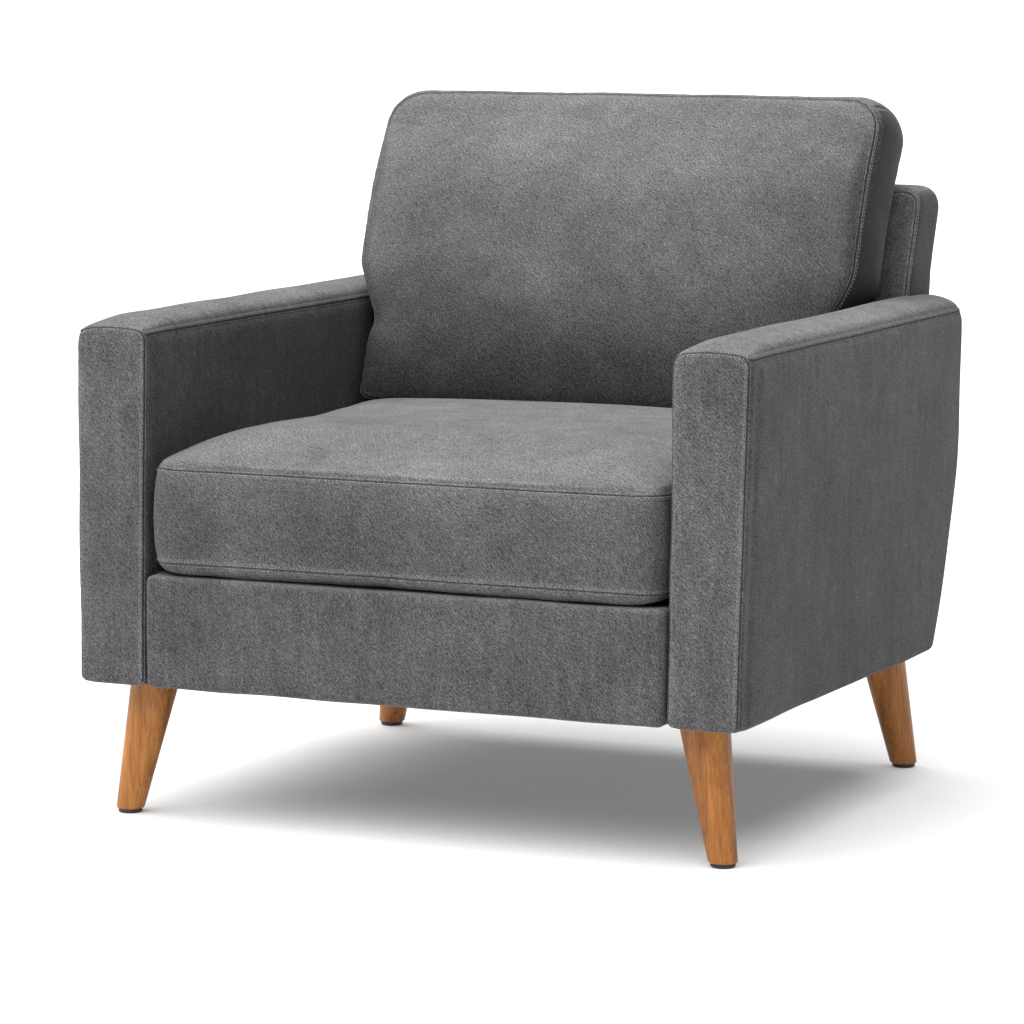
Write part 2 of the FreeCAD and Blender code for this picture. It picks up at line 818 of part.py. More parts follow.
doc.recompute()
for thing in doc.Objects:
    assert "Invalid" not in thing.State and "Error" not in thing.State, (thing.Name, thing.State)
for label, thing in nodes.items():
    assert not thing.Shape.isNull() and thing.Shape.isValid() and thing.Shape.Volume > 0, label

os.makedirs("parts", exist_ok=True)
for label, thing in nodes.items():
    thing.Shape.exportStep(f"parts/{label}.step")
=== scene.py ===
import json
import math

import bmesh
import bpy
import numpy as np
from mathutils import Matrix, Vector, noise
from mathutils.bvhtree import BVHTree
from mathutils.kdtree import KDTree

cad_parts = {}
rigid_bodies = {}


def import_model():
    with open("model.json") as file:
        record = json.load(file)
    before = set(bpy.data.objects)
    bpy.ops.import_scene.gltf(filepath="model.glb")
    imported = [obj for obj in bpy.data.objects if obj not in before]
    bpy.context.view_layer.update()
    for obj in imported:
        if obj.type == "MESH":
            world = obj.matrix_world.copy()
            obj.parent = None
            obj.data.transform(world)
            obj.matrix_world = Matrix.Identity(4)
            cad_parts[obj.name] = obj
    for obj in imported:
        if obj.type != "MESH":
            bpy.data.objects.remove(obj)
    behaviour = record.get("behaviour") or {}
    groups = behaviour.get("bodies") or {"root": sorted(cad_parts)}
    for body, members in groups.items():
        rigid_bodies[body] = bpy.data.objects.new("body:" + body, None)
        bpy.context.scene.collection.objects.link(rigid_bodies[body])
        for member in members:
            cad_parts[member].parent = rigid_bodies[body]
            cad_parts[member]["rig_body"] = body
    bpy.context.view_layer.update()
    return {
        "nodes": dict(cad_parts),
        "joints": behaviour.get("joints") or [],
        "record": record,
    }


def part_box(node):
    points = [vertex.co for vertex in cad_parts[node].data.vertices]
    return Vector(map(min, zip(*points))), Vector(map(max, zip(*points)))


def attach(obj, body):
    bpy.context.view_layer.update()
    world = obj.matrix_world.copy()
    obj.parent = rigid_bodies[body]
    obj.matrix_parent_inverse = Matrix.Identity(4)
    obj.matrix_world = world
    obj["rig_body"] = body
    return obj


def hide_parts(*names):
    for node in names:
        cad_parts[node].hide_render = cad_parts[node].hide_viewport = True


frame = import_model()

# An upholstered armchair in metres: +Z up, facing -Y, with +X to the viewer's right.
MM = 0.001

# ---------------------------------------------------------------- places, read from the frame

ARM_LOW, ARM_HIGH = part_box("arm_cover_right")
PANEL_LOW, PANEL_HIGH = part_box("front_panel_cover")
BACK_LOW, BACK_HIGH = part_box("back_cover")
SEAT_LOW, SEAT_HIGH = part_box("seat_cushion_cover")
REST_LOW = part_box("back_cushion_cover")[0]
JOINTS = {joint["name"]: joint for joint in frame["joints"]}
REST_AXIS = Vector(JOINTS["back_cushion_lift"]["axis"])


# ---------------------------------------------------------------- node helpers


def new_material(name):
    material = bpy.data.materials.new(name)
    material.use_nodes = True
    tree = material.node_tree
    shader = tree.nodes["Principled BSDF"]
    return material, tree, shader


def add_node(tree, kind, inputs=None, **settings):
    node = tree.nodes.new(kind)
    for key, setting in settings.items():
        setattr(node, key, setting)
    for key, setting in (inputs or {}).items():
        if isinstance(setting, bpy.types.NodeSocket):
            tree.links.new(setting, node.inputs[key])
        else:
            node.inputs[key].default_value = setting
    return node


def object_space(tree, stretch=(1, 1, 1), turn=(0, 0, 0)):
    place = add_node(tree, "ShaderNodeTexCoord")
    mapping = add_node(
        tree, "ShaderNodeMapping", {"Vector": place.outputs["Object"], "Scale": stretch, "Rotation": turn}
    )
    return mapping.outputs["Vector"]


def noise_value(tree, vector, scale, detail=2.0, roughness=0.5, distortion=0.0):
    inputs = {
        "Vector": vector, "Scale": scale, "Detail": detail, "Roughness": roughness, "Distortion": distortion
    }
    return add_node(tree, "ShaderNodeTexNoise", inputs).outputs["Fac"]


def scaled(tree, value, factor, add=0.0):
    node = add_node(
        tree, "ShaderNodeMath", {0: value, 1: factor, 2: add}, operation="MULTIPLY_ADD"
    )
    return node.outputs[0]


def total(tree, *values):
    result = values[0]
    for value in values[1:]:
        result = add_node(tree, "ShaderNodeMath", {0: result, 1: value}, operation="ADD").outputs[0]
    return result


def colour_ramp(tree, value, stops):
    node = add_node(tree, "ShaderNodeValToRGB", {"Fac": value})
    elements = node.color_ramp.elements
    while len(elements) < len(stops):
        elements.new(0.5)
    for element, (position, colour) in zip(elements, stops):
        element.position = position
        element.color = (*colour, 1.0)
    return node.outputs["Color"]


def bump(tree, height, distance, strength, before=None):
    inputs = {"Height": height, "Distance": distance, "Strength": strength}
    if before is not None:
        inputs["Normal"] = before
    return add_node(tree, "ShaderNodeBump", inputs).outputs["Normal"]


# ---------------------------------------------------------------- materials

FABRIC_TINT = (1.0, 0.962, 0.985)
FABRIC_TONES = [(0.0, 0.022), (0.2, 0.037), (0.4, 0.062), (0.6, 0.099), (0.8, 0.152), (1.0, 0.230)]


def brushed_fabric(name, streaks=(1, 1, 1), streak_share=0.0):
    """Short-napped brushed fabric: fine wormy grain, soft cloudy patches, strokes in the pile, and painted
    light and shade.
    """
    material, tree, shader = new_material(name)
    space = object_space(tree)
    grain = noise_value(tree, space, 620.0, 2.0, 0.6)
    worms = add_node(
        tree, "ShaderNodeTexWave",
        {"Vector": space, "Scale": 112.0, "Distortion": 11.0, "Detail": 2.0, "Detail Scale": 1.9},
        bands_direction="DIAGONAL",
    ).outputs["Fac"]
    speckle = noise_value(tree, space, 190.0, 2.0, 0.6)
    patches = noise_value(tree, space, 30.0, 3.0, 0.6, 0.5)
    clouds = noise_value(tree, space, 6.5, 3.0, 0.55, 0.4)
    strokes = noise_value(tree, object_space(tree, streaks), 10.0, 4.0, 0.62)
    rim = add_node(tree, "ShaderNodeAttribute", attribute_name="rim").outputs["Fac"]
    pile_and_shade = add_node(tree, "ShaderNodeAttribute", attribute_name="pile_and_shade").outputs["Fac"]
    shade = total(
        tree,
        scaled(tree, grain, 0.70, -0.35),
        scaled(tree, worms, 0.36, -0.18),
        scaled(tree, speckle, 0.18, -0.09),
        scaled(tree, patches, 0.26, -0.13),
        scaled(tree, clouds, 0.38, -0.19),
        scaled(tree, strokes, streak_share, -streak_share / 2),
        # Along seams: painted shade and highlight on the seam strips, and edge wear lightening the cloth
        # beside them.
        scaled(tree, rim, 0.08, 0.6),
        # Painted light on up-facing cloth, and painted shade on its sides, its front and near the back
        # cushion's foot.
        pile_and_shade,
    )
    tint = np.array(FABRIC_TINT)
    stops = [(spot, tuple(tint * tone)) for spot, tone in FABRIC_TONES]
    tree.links.new(colour_ramp(tree, shade, stops), shader.inputs["Base Color"])
    soft = bump(tree, patches, 1.2 * MM, 0.3)
    pile = total(tree, grain, scaled(tree, worms, 0.35), scaled(tree, speckle, 0.5))
    tree.links.new(bump(tree, pile, 0.6 * MM, 0.6, soft), shader.inputs["Normal"])
    shader.inputs["Roughness"].default_value = 0.92
    shader.inputs["Specular IOR Level"].default_value = 0.15
    shader.inputs["Sheen Weight"].default_value = 0.14
    shader.inputs["Sheen Roughness"].default_value = 0.42
    shader.inputs["Sheen Tint"].default_value = (0.88, 0.86, 0.87, 1)
    return material


def thread(name):
    material, tree, shader = new_material(name)
    twist = noise_value(tree, object_space(tree), 1500.0, 2.0)
    stops = [(0.3, (0.12, 0.117, 0.118)), (0.7, (0.22, 0.213, 0.217))]
    tree.links.new(colour_ramp(tree, twist, stops), shader.inputs["Base Color"])
    tree.links.new(bump(tree, twist, 0.2 * MM, 0.5), shader.inputs["Normal"])
    shader.inputs["Roughness"].default_value = 0.75
    return material


def oiled_wood(name, along):
    """Satin wood whose grain runs along the given direction."""
    material, tree, shader = new_material(name)
    lean = Vector((0, 0, 1)).rotation_difference(along).to_euler()
    turn = tuple(-angle for angle in lean)
    space = object_space(tree, (1, 1, 0.055), turn)
    rings = noise_value(tree, space, 55.0, 4.0, 0.55, 0.8)
    pores = noise_value(tree, object_space(tree, (1, 1, 0.03), turn), 640.0, 3.0, 0.6)
    shade = total(tree, scaled(tree, rings, 1.6, -0.8), scaled(tree, pores, 1.1, -0.55 + 0.5))
    stops = [
        (0.10, (0.100, 0.029, 0.004)), (0.38, (0.25, 0.086, 0.013)),
        (0.60, (0.355, 0.130, 0.021)), (0.92, (0.49, 0.200, 0.039)),
    ]
    tree.links.new(colour_ramp(tree, shade, stops), shader.inputs["Base Color"])
    tree.links.new(bump(tree, pores, 0.25 * MM, 0.35), shader.inputs["Normal"])
    gloss = scaled(tree, rings, 0.16, 0.36)
    tree.links.new(gloss, shader.inputs["Roughness"])
    shader.inputs["Specular IOR Level"].default_value = 0.42
    return material


def plain_texture(name, dark, light, scale, roughness, depth=0.3, metallic=0.0, stretch=(1, 1, 1)):
    """Two-tone procedural finish for the smaller and hidden pieces."""
    material, tree, shader = new_material(name)
    value = noise_value(tree, object_space(tree, stretch), scale, 4.0, 0.6)
    tree.links.new(colour_ramp(tree, value, [(0.3, dark), (0.7, light)]), shader.inputs["Base Color"])
    tree.links.new(bump(tree, value, depth * MM, 0.4), shader.inputs["Normal"])
    shader.inputs["Roughness"].default_value = roughness
    shader.inputs["Metallic"].default_value = metallic
    return material


def woven(name, dark, light, pitch):
    """Plain weave from two crossed waves."""
    material, tree, shader = new_material(name)
    space = object_space(tree)
    ways = []
    for direction in ("X", "Y", "Z"):
        wave = add_node(
            tree, "ShaderNodeTexWave", {"Vector": space, "Scale": 0.31 / pitch, "Distortion": 0.4},
            bands_direction=direction,
        )
        ways.append(scaled(tree, wave.outputs["Fac"], 0.33))
    value = total(tree, *ways)
    tree.links.new(colour_ramp(tree, value, [(0.2, dark), (0.8, light)]), shader.inputs["Base Color"])
    tree.links.new(bump(tree, value, 0.4 * MM, 0.6), shader.inputs["Normal"])
    shader.inputs["Roughness"].default_value = 0.9
    return material


FABRIC_SEAT = brushed_fabric("fabric_cushion", (1.4, 6, 1.4), 0.14)
FABRIC_SIDE = brushed_fabric("fabric_frame", (9, 9, 1.3), 0.34)
THREAD = thread("sewing_thread")

CAD_FINISHES = {
    "frame_timber": plain_texture(
        "pine", (0.42, 0.25, 0.12), (0.62, 0.42, 0.22), 30, 0.6, stretch=(1, 1, 6)
    ),
    "board": plain_texture("hardboard", (0.20, 0.12, 0.06), (0.32, 0.20, 0.11), 160, 0.7),
    "steel": plain_texture("zinc_steel", (0.42, 0.42, 0.43), (0.62, 0.62, 0.63), 90, 0.38, 0.05, 0.95),
    "zip_metal": plain_texture("zip_nickel", (0.20, 0.20, 0.20), (0.34, 0.33, 0.32), 400, 0.35, 0.05, 0.95),
    "zip_tape": woven("zip_tape_weave", (0.03, 0.03, 0.03), (0.09, 0.088, 0.085), 1.2 * MM),
    "foam": plain_texture("foam", (0.62, 0.56, 0.38), (0.80, 0.75, 0.58), 420, 0.95, 0.8),
    "webbing": woven("webbing_weave", (0.20, 0.15, 0.08), (0.45, 0.38, 0.26), 2.5 * MM),
    "deck_cloth": woven("deck_weave", (0.05, 0.049, 0.047), (0.13, 0.127, 0.122), 1.6 * MM),
    "dust_cloth": woven("dust_weave", (0.006, 0.006, 0.006), (0.028, 0.028, 0.028), 1.4 * MM),
    "glide_nylon": plain_texture("black_nylon", (0.010, 0.010, 0.010), (0.030, 0.030, 0.030), 300, 0.5, 0.1),
    "upholstery": FABRIC_SIDE,
}


def finish_cad_nodes():
    slots = {part["node"]: part["material_slot"] for part in frame["record"]["subparts"]}
    for node, thing in frame["nodes"].items():
        if slots[node] in CAD_FINISHES:
            thing.data.materials.clear()
            thing.data.materials.append(CAD_FINISHES[slots[node]])


# ---------------------------------------------------------------- mesh helpers


def smooth_step(values, low, high):
    t = np.clip((values - low) / (high - low), 0, 1)
    return t * t * (3 - 2 * t)


def ticks(low, high, radius, step):
    """Places along one side of a block, close together where its edges are rounded."""
    rounds = 6
    ends = np.linspace(0, radius, rounds + 1)[:-1]
    count = max(2, int(round((high - low - 2 * radius) / step)) + 1)
    return np.concatenate([low + ends, np.linspace(low + radius, high - radius, count), (high - ends)[::-1]])


def rounded_block(low, high, radius, step, square=None):
    """Points and quads of a box with rounded edges. The edges along the square axis stay sharp."""
    axes = [ticks(low[i], high[i], radius, step) for i in range(3)]
    sizes = [len(axis) for axis in axes]
    index = {}
    points = []

    def corner(i, j, k):
        key = (i, j, k)
        if key not in index:
            index[key] = len(points)
            points.append((axes[0][i], axes[1][j], axes[2][k]))
        return index[key]

    quads = []
    for axis in range(3):
        u, v = [other for other in range(3) if other != axis]
        for end in (0, sizes[axis] - 1):
            forward = (end != 0) == (axis != 1)
            for a in range(sizes[u] - 1):
                for b in range(sizes[v] - 1):
                    ring = []
                    for da, db in ((0, 0), (1, 0), (1, 1), (0, 1)):
                        key = [0, 0, 0]
                        key[axis] = end
                        key[u] = a + da
                        key[v] = b + db
                        ring.append(corner(*key))
                    quads.append(ring if forward else ring[::-1])
    points = np.array(points)
    inner = np.clip(points, np.array(low) + radius, np.array(high) - radius)
    out = points - inner
    if square is None:
        length = np.linalg.norm(out, axis=1, keepdims=True)
    else:
        widest = np.abs(np.delete(out, square, axis=1)).max(axis=1)
        length = np.hypot(out[:, square], widest)[:, None]
    points = inner + out / np.where(length > 0, length, 1) * np.where(length > 0, radius, 0)
    return points, quads


def outward(a, b, halves, radius):
    """Unit direction away from a rounded rectangle's middle, and how near its outline a point is."""
    da = a - np.clip(a, -halves[0] + radius, halves[0] - radius)
    db = b - np.clip(b, -halves[1] + radius, halves[1] - radius)
    length = np.hypot(da, db)
    safe = np.maximum(length, 1e-9)
    return da / safe, db / safe, smooth_step(length / radius, 0.7, 1.0)


def round_corner(a, b, a_edge, b_edge, radius):
    """Turns the square corner between two edges into an arc. a and b are arrays of coordinates."""
    sign_a, sign_b = np.sign(a_edge), np.sign(b_edge)
    da = sign_a * a - (abs(a_edge) - radius)
    db = sign_b * b - (sign_b * b_edge - radius)
    inside = (da > 0) & (db > 0)
    longest = np.maximum(da, db)
    scale = np.where(inside, longest / np.maximum(np.hypot(da, db), 1e-9), 1.0)
    new_a = np.where(inside, sign_a * (abs(a_edge) - radius + da * scale), a)
    new_b = np.where(inside, sign_b * (sign_b * b_edge - radius + db * scale), b)
    return new_a, new_b


def make_object(name, points, faces, material, body):
    mesh = bpy.data.meshes.new(name)
    mesh.from_pydata([tuple(point) for point in points], [], [tuple(face) for face in faces])
    mesh.update()
    mesh.polygons.foreach_set("use_smooth", [True] * len(mesh.polygons))
    mesh.materials.append(material)
    thing = bpy.data.objects.new(name, mesh)
    bpy.context.scene.collection.objects.link(thing)
    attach(thing, body)
    return thing


def coordinates(thing):
    array = np.empty(len(thing.data.vertices) * 3)
    thing.data.vertices.foreach_get("co", array)
    return array.reshape(-1, 3)


def set_coordinates(thing, array):
    thing.data.vertices.foreach_set("co", np.ascontiguousarray(array, dtype=np.float64).ravel())
    thing.data.update()


def normals(thing):
    array = np.empty(len(thing.data.vertices) * 3)
    thing.data.vertices.foreach_get("normal", array)
    return array.reshape(-1, 3)


def apply_modifiers(thing):
    depsgraph = bpy.context.evaluated_depsgraph_get()
    mesh = bpy.data.meshes.new_from_object(thing.evaluated_get(depsgraph))
    old = thing.data
    thing.modifiers.clear()
    thing.data = mesh
    bpy.data.meshes.remove(old)


def subdivide(thing, levels=1):
    modifier = thing.modifiers.new("Subdivision", "SUBSURF")
    modifier.levels = levels
    modifier.render_levels = levels
    apply_modifiers(thing)


def tidy_normals(thing):
    mesh = bmesh.new()
    mesh.from_mesh(thing.data)
    bmesh.ops.recalc_face_normals(mesh, faces=mesh.faces)
    mesh.to_mesh(thing.data)
    mesh.free()


# ---------------------------------------------------------------- seams and stitches

SEAM_STEP = 3.0 * MM
# Height across a seam, in millimetres: a cleft at 0 with a folded rim on its positive side.
FOLDED_SEAM = [
    (-4.4, -0.9), (-3.0, 0.25), (-2.0, 0.55), (-1.2, 0.50), (-0.7, 0.2), (0.0, 0.15), (0.7, 0.2),
    (1.1, 0.85), (1.8, 1.30), (2.6, 1.20), (3.2, 0.80), (3.7, 0.70), (4.3, 0.80), (5.4, 0.45), (7.6, -0.9),
]
STITCH_OFFSET = 3.7 * MM
STITCH_PITCH = 4.8 * MM
STITCH_LONG = 3.2 * MM
STITCH_RADIUS = 0.5 * MM
STITCH_HEIGHT = 0.95 * MM
RIM_REACH = 12 * MM
# Painted light on up-facing cloth, and the height over which painted shade fades out above the back
# cushion's foot.
PAINTED_TOP_LIGHT = 0.09
PAINTED_FOOT_SHADE_REACH = 200 * MM


def resample(path, closed, step=SEAM_STEP):
    """Evenly spaced points along a polyline."""
    points = np.array(path, float)
    if closed:
        points = np.vstack([points, points[:1]])
    lengths = np.concatenate([[0], np.cumsum(np.linalg.norm(np.diff(points, axis=0), axis=1))])
    count = max(2, int(lengths[-1] / step))
    spots = np.linspace(0, lengths[-1], count + 1)
    if closed:
        spots = spots[:-1]
    return np.column_stack([np.interp(spots, lengths, points[:, axis]) for axis in range(3)])


def tangents(points, closed):
    if closed:
        runs = np.roll(points, -1, axis=0) - np.roll(points, 1, axis=0)
    else:
        runs = np.gradient(points, axis=0)
    return runs / np.linalg.norm(runs, axis=1, keepdims=True)


class Surface:
    """A finished piece that seams are laid on."""

    def __init__(self, thing, pile_and_shade):
        self.thing = thing
        self.pile_and_shade = pile_and_shade
        self.points = coordinates(thing)
        self.normals = normals(thing)
        self.faces = [tuple(face.vertices) for face in thing.data.polygons]
        self.tree = BVHTree.FromPolygons([Vector(p) for p in self.points], self.faces)
        lay_pile_and_shade(thing, pile_and_shade)

    def at(self, spot):
        """The nearest point of the surface and its smooth normal."""
        place, _, face, _ = self.tree.find_nearest(Vector(spot))
        corners = self.faces[face]
        weights = [1 / (1e-5 + (place - Vector(self.points[c])).length) for c in corners]
        normal = sum((Vector(self.normals[c]) * w for c, w in zip(corners, weights)), Vector())
        return place, normal.normalized()


def lay_pile_and_shade(thing, pile_and_shade):
    """Sets a fixed tone by the way the cloth faces: painted light on top, painted shade on its sides and
    front.

    The amounts are tuned. They stand partly for the lie of the pile and partly for light and shade that
    the lamps alone don't give. The darkening near the foot of the back cushion is painted shade alone.
    """
    sideways, forward, foot = pile_and_shade
    out = normals(thing)
    heights = coordinates(thing)[:, 2]
    shade = PAINTED_TOP_LIGHT * smooth_step(out[:, 2], 0.15, 1.0)
    shade -= sideways * smooth_step(np.abs(out[:, 0]), 0.40, 0.92)
    shade -= forward * smooth_step(-out[:, 1], 0.40, 0.92)
    shade -= foot * (1 - smooth_step(heights, REST_LOW.z, REST_LOW.z + PAINTED_FOOT_SHADE_REACH))
    mark = thing.data.attributes.new("pile_and_shade", "FLOAT", "POINT")
    mark.data.foreach_set("value", shade)


def path_tree(path, closed, step=SEAM_STEP):
    """Finds the nearest place on a path."""
    samples = resample(path, closed, step)
    tree = KDTree(len(samples))
    for index, sample in enumerate(samples):
        tree.insert(Vector(sample), index)
    tree.balance()
    return tree


def press_seam(thing, path, closed, depth=1.4 * MM, reach=10 * MM, pucker=0.25 * MM, gather=18 * MM):
    """Sinks the surface along a seam, with small gathers across it, and marks a lighter band of edge wear
    along it for the material.

    The depth also seeds the noise, so seams of different depths gather at different places.
    """
    tree = path_tree(path, closed)
    points = coordinates(thing)
    out = normals(thing)
    mesh = thing.data
    if "rim" not in mesh.attributes:
        mesh.attributes.new("rim", "FLOAT", "POINT")
    marks = np.empty(len(points))
    mesh.attributes["rim"].data.foreach_get("value", marks)
    for index, point in enumerate(points):
        _, nearest, distance = tree.find(Vector(point))
        if distance > 4 * reach:
            continue
        along = nearest * SEAM_STEP
        drift = noise.noise(Vector((along * 14.0, 0.3, depth * 900)))
        size = 0.5 + noise.noise(Vector((along * 22.0, 4.1, depth * 700)))
        wave = size * math.sin(2 * math.pi * (along / gather + 1.5 * drift))
        fade = math.exp(-((distance / (2.2 * reach)) ** 2))
        dent = depth * math.exp(-((distance / reach) ** 2))
        points[index] += out[index] * (wave * fade * pucker - dent)
        marks[index] = max(marks[index], math.exp(-((distance / RIM_REACH) ** 2)))
    set_coordinates(thing, points)
    mesh.attributes["rim"].data.foreach_set("value", marks)


def press_dent(thing, path, depth, reach):
    """A soft hollow along a line, with no seam."""
    tree = path_tree(path, False)
    points = coordinates(thing)
    out = normals(thing)
    for index, point in enumerate(points):
        _, _, distance = tree.find(Vector(point))
        if distance < 3 * reach:
            points[index] -= out[index] * depth * math.exp(-((distance / reach) ** 2))
    set_coordinates(thing, points)


def seam_shade_and_highlight(offset):
    """Painted shade, dark in the cleft of a seam; a painted highlight on its fold; painted shade again under
    the stitches.
    """
    if abs(offset) < 1.0:
        return -4.5
    if 1.0 < offset < 3.0:
        return 1.6
    return -0.8 if 3.0 < offset < 4.2 else 0.6


def lay_seam(surface, name, path, closed, flip=False):
    """A folded seam laid on a surface, and its row of stitches."""
    thing = surface.thing
    body = thing["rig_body"]
    samples = resample(path, closed)
    runs = tangents(samples, closed)
    side_sign = -1.0 if flip else 1.0
    rings = []
    stitch_line = []
    for sample, run in zip(samples, runs):
        place, normal = surface.at(sample)
        across = normal.cross(Vector(run)).normalized() * side_sign
        ring = []
        for offset, height in FOLDED_SEAM:
            spot, out = surface.at(place + across * (offset * MM))
            ring.append(spot + out * (height * MM))
        rings.append(ring)
        spot, out = surface.at(place + across * STITCH_OFFSET)
        stitch_line.append(spot + out * STITCH_HEIGHT)
    width = len(FOLDED_SEAM)
    count = len(rings)
    faces = []
    for row in range(count if closed else count - 1):
        following = (row + 1) % count
        for column in range(width - 1):
            quad = [
                row * width + column, row * width + column + 1,
                following * width + column + 1, following * width + column,
            ]
            faces.append(quad if not flip else quad[::-1])
    points = [point for ring in rings for point in ring]
    seam = make_object(name, points, faces, thing.data.materials[0], body)
    # Painted shade in the seam's cleft and under its stitches, and a painted highlight on its fold.
    marks = seam.data.attributes.new("rim", "FLOAT", "POINT")
    row_shade_and_highlight = [seam_shade_and_highlight(offset) for offset, _ in FOLDED_SEAM]
    marks.data.foreach_set("value", row_shade_and_highlight * count)
    lay_pile_and_shade(seam, surface.pile_and_shade)
    lay_stitches(name + "_stitches", stitch_line, closed, body)


def lay_stitches(name, line, closed, body):
    """Separate short stitches along a line, joined into one piece."""
    spots = resample([tuple(p) for p in line], closed, STITCH_PITCH)
    runs = tangents(spots, closed)
    sides = 6
    rings = [(-0.5, 0.15), (-0.38, 0.85), (0.0, 1.0), (0.38, 0.85), (0.5, 0.15)]
    points = []
    faces = []
    for spot, run in zip(spots, runs):
        run = Vector(run)
        across = run.orthogonal().normalized()
        lift = run.cross(across)
        start = len(points)
        for along, size in rings:
            for side in range(sides):
                angle = 2 * math.pi * side / sides
                out = across * math.cos(angle) + lift * math.sin(angle)
                points.append(Vector(spot) + run * along * STITCH_LONG + out * STITCH_RADIUS * size)
        for ring in range(len(rings) - 1):
            for side in range(sides):
                a = start + ring * sides + side
                b = start + ring * sides + (side + 1) % sides
                faces.append((a, b, b + sides, a + sides))
        faces.append(tuple(range(start + sides - 1, start - 1, -1)))
        last = start + (len(rings) - 1) * sides
        faces.append(tuple(range(last, last + sides)))
    make_object(name, points, faces, THREAD, body)


# ---------------------------------------------------------------- camera, light and floor

AIM = Vector((-0.0135, -0.0475, 0.3513))
AZIMUTH = math.radians(24.715)
ELEVATION = math.radians(7.447)
DISTANCE = 5.5284
LENS = 158.44
SKY = 0.15
SUN_POWER = 6.5
SUN_SPREAD = math.radians(92)
SUN_FROM = (-0.22, -0.24, 0.95)
FLOOR_HALF = 60.0
# The floor gives off a little light of its own, so that it is as pale as the backdrop.
FLOOR_GLOW = 0.17
SENSOR = 36.0


def make_camera():
    level = math.cos(ELEVATION)
    back = Vector((math.sin(AZIMUTH) * level, -math.cos(AZIMUTH) * level, math.sin(ELEVATION)))
    data = bpy.data.cameras.new("camera")
    data.lens = LENS
    data.sensor_width = SENSOR
    camera = bpy.data.objects.new("camera", data)
    camera.location = AIM + back * DISTANCE
    camera.rotation_mode = "QUATERNION"
    camera.rotation_quaternion = (-back).to_track_quat("-Z", "Y")
    bpy.context.scene.collection.objects.link(camera)
    bpy.context.scene.camera = camera


def make_studio():
    scene = bpy.context.scene
    scene.view_settings.view_transform = "Standard"
    world = bpy.data.worlds.new("studio")
    world.use_nodes = True
    tree = world.node_tree
    direction = add_node(tree, "ShaderNodeTexCoord").outputs["Generated"]
    height = add_node(tree, "ShaderNodeSeparateXYZ", {"Vector": direction}).outputs["Z"]
    sky = colour_ramp(tree, height, [(0.04, (1.0, 1.0, 1.0)), (0.13, (SKY, SKY, SKY))])
    tree.links.new(sky, tree.nodes["Background"].inputs["Color"])
    scene.world = world
    sun = bpy.data.lights.new("key", "SUN")
    sun.energy = SUN_POWER
    sun.angle = SUN_SPREAD
    lamp = bpy.data.objects.new("key", sun)
    lamp.rotation_mode = "QUATERNION"
    lamp.rotation_quaternion = Vector(SUN_FROM).to_track_quat("Z", "Y")
    scene.collection.objects.link(lamp)
    floor_material, tree, shader = new_material("floor_paper")
    paper = noise_value(tree, object_space(tree), 40.0, 3.0)
    tree.links.new(
        colour_ramp(tree, paper, [(0.3, (0.69, 0.69, 0.69)), (0.7, (0.71, 0.71, 0.71))]),
        shader.inputs["Base Color"],
    )
    shader.inputs["Roughness"].default_value = 0.9
    shader.inputs["Specular IOR Level"].default_value = 0.1
    shader.inputs["Emission Color"].default_value = (1, 1, 1, 1)
    shader.inputs["Emission Strength"].default_value = FLOOR_GLOW
    corners = [(FLOOR_HALF * x, FLOOR_HALF * y, 0) for x, y in ((-1, -1), (1, -1), (1, 1), (-1, 1))]
    mesh = bpy.data.meshes.new("floor")
    mesh.from_pydata(corners, [], [(0, 1, 2, 3)])
    mesh.materials.append(floor_material)
    floor = bpy.data.objects.new("floor", mesh)
    scene.collection.objects.link(floor)


# ---------------------------------------------------------------- arms

ARM_RADIUS = 8 * MM
HEM = 3 * MM
ARM_STEP = 5 * MM
ARM_TAPER = 7 * MM
ARM_LEAN = 14 * MM
ARM_CROWN = 16 * MM
ARM_SEAM_TOP = ARM_HIGH.z - 13 * MM
ARM_FACE_CORNER = 13 * MM
ARM_FOOT_CORNER = 9 * MM
# Painted shade on the arm's sides and front, partly standing for the pile: (sideways, front, foot).
ARM_PILE_AND_SHADE = (0.31, 0.10, 0.0)
ARM_FRONT = ARM_LOW.y + ARM_LEAN - 2 * MM
ARM_BEND = 0.460
ARM_EASE = 3 * MM
ARM_SWEEP = 77 * MM
ARM_SWEEP_POWER = 1.75
ARM_REAR_CORNER = 5 * MM
ARM_PROUD = 2.5 * MM
ARM_FACE_PUFF = 4 * MM
ARM_DENT_BACK = 17 * MM


def arm_rear(z):
    """Rear edge of an arm: upright near the top and curving forwards below."""
    drop = np.clip((ARM_BEND - z) / (ARM_BEND - ARM_LOW.z), 0, 1)
    ease = ARM_EASE * smooth_step(-z, -ARM_SEAM_TOP, -ARM_BEND)
    return ARM_HIGH.y - ease - ARM_SWEEP * drop**ARM_SWEEP_POWER


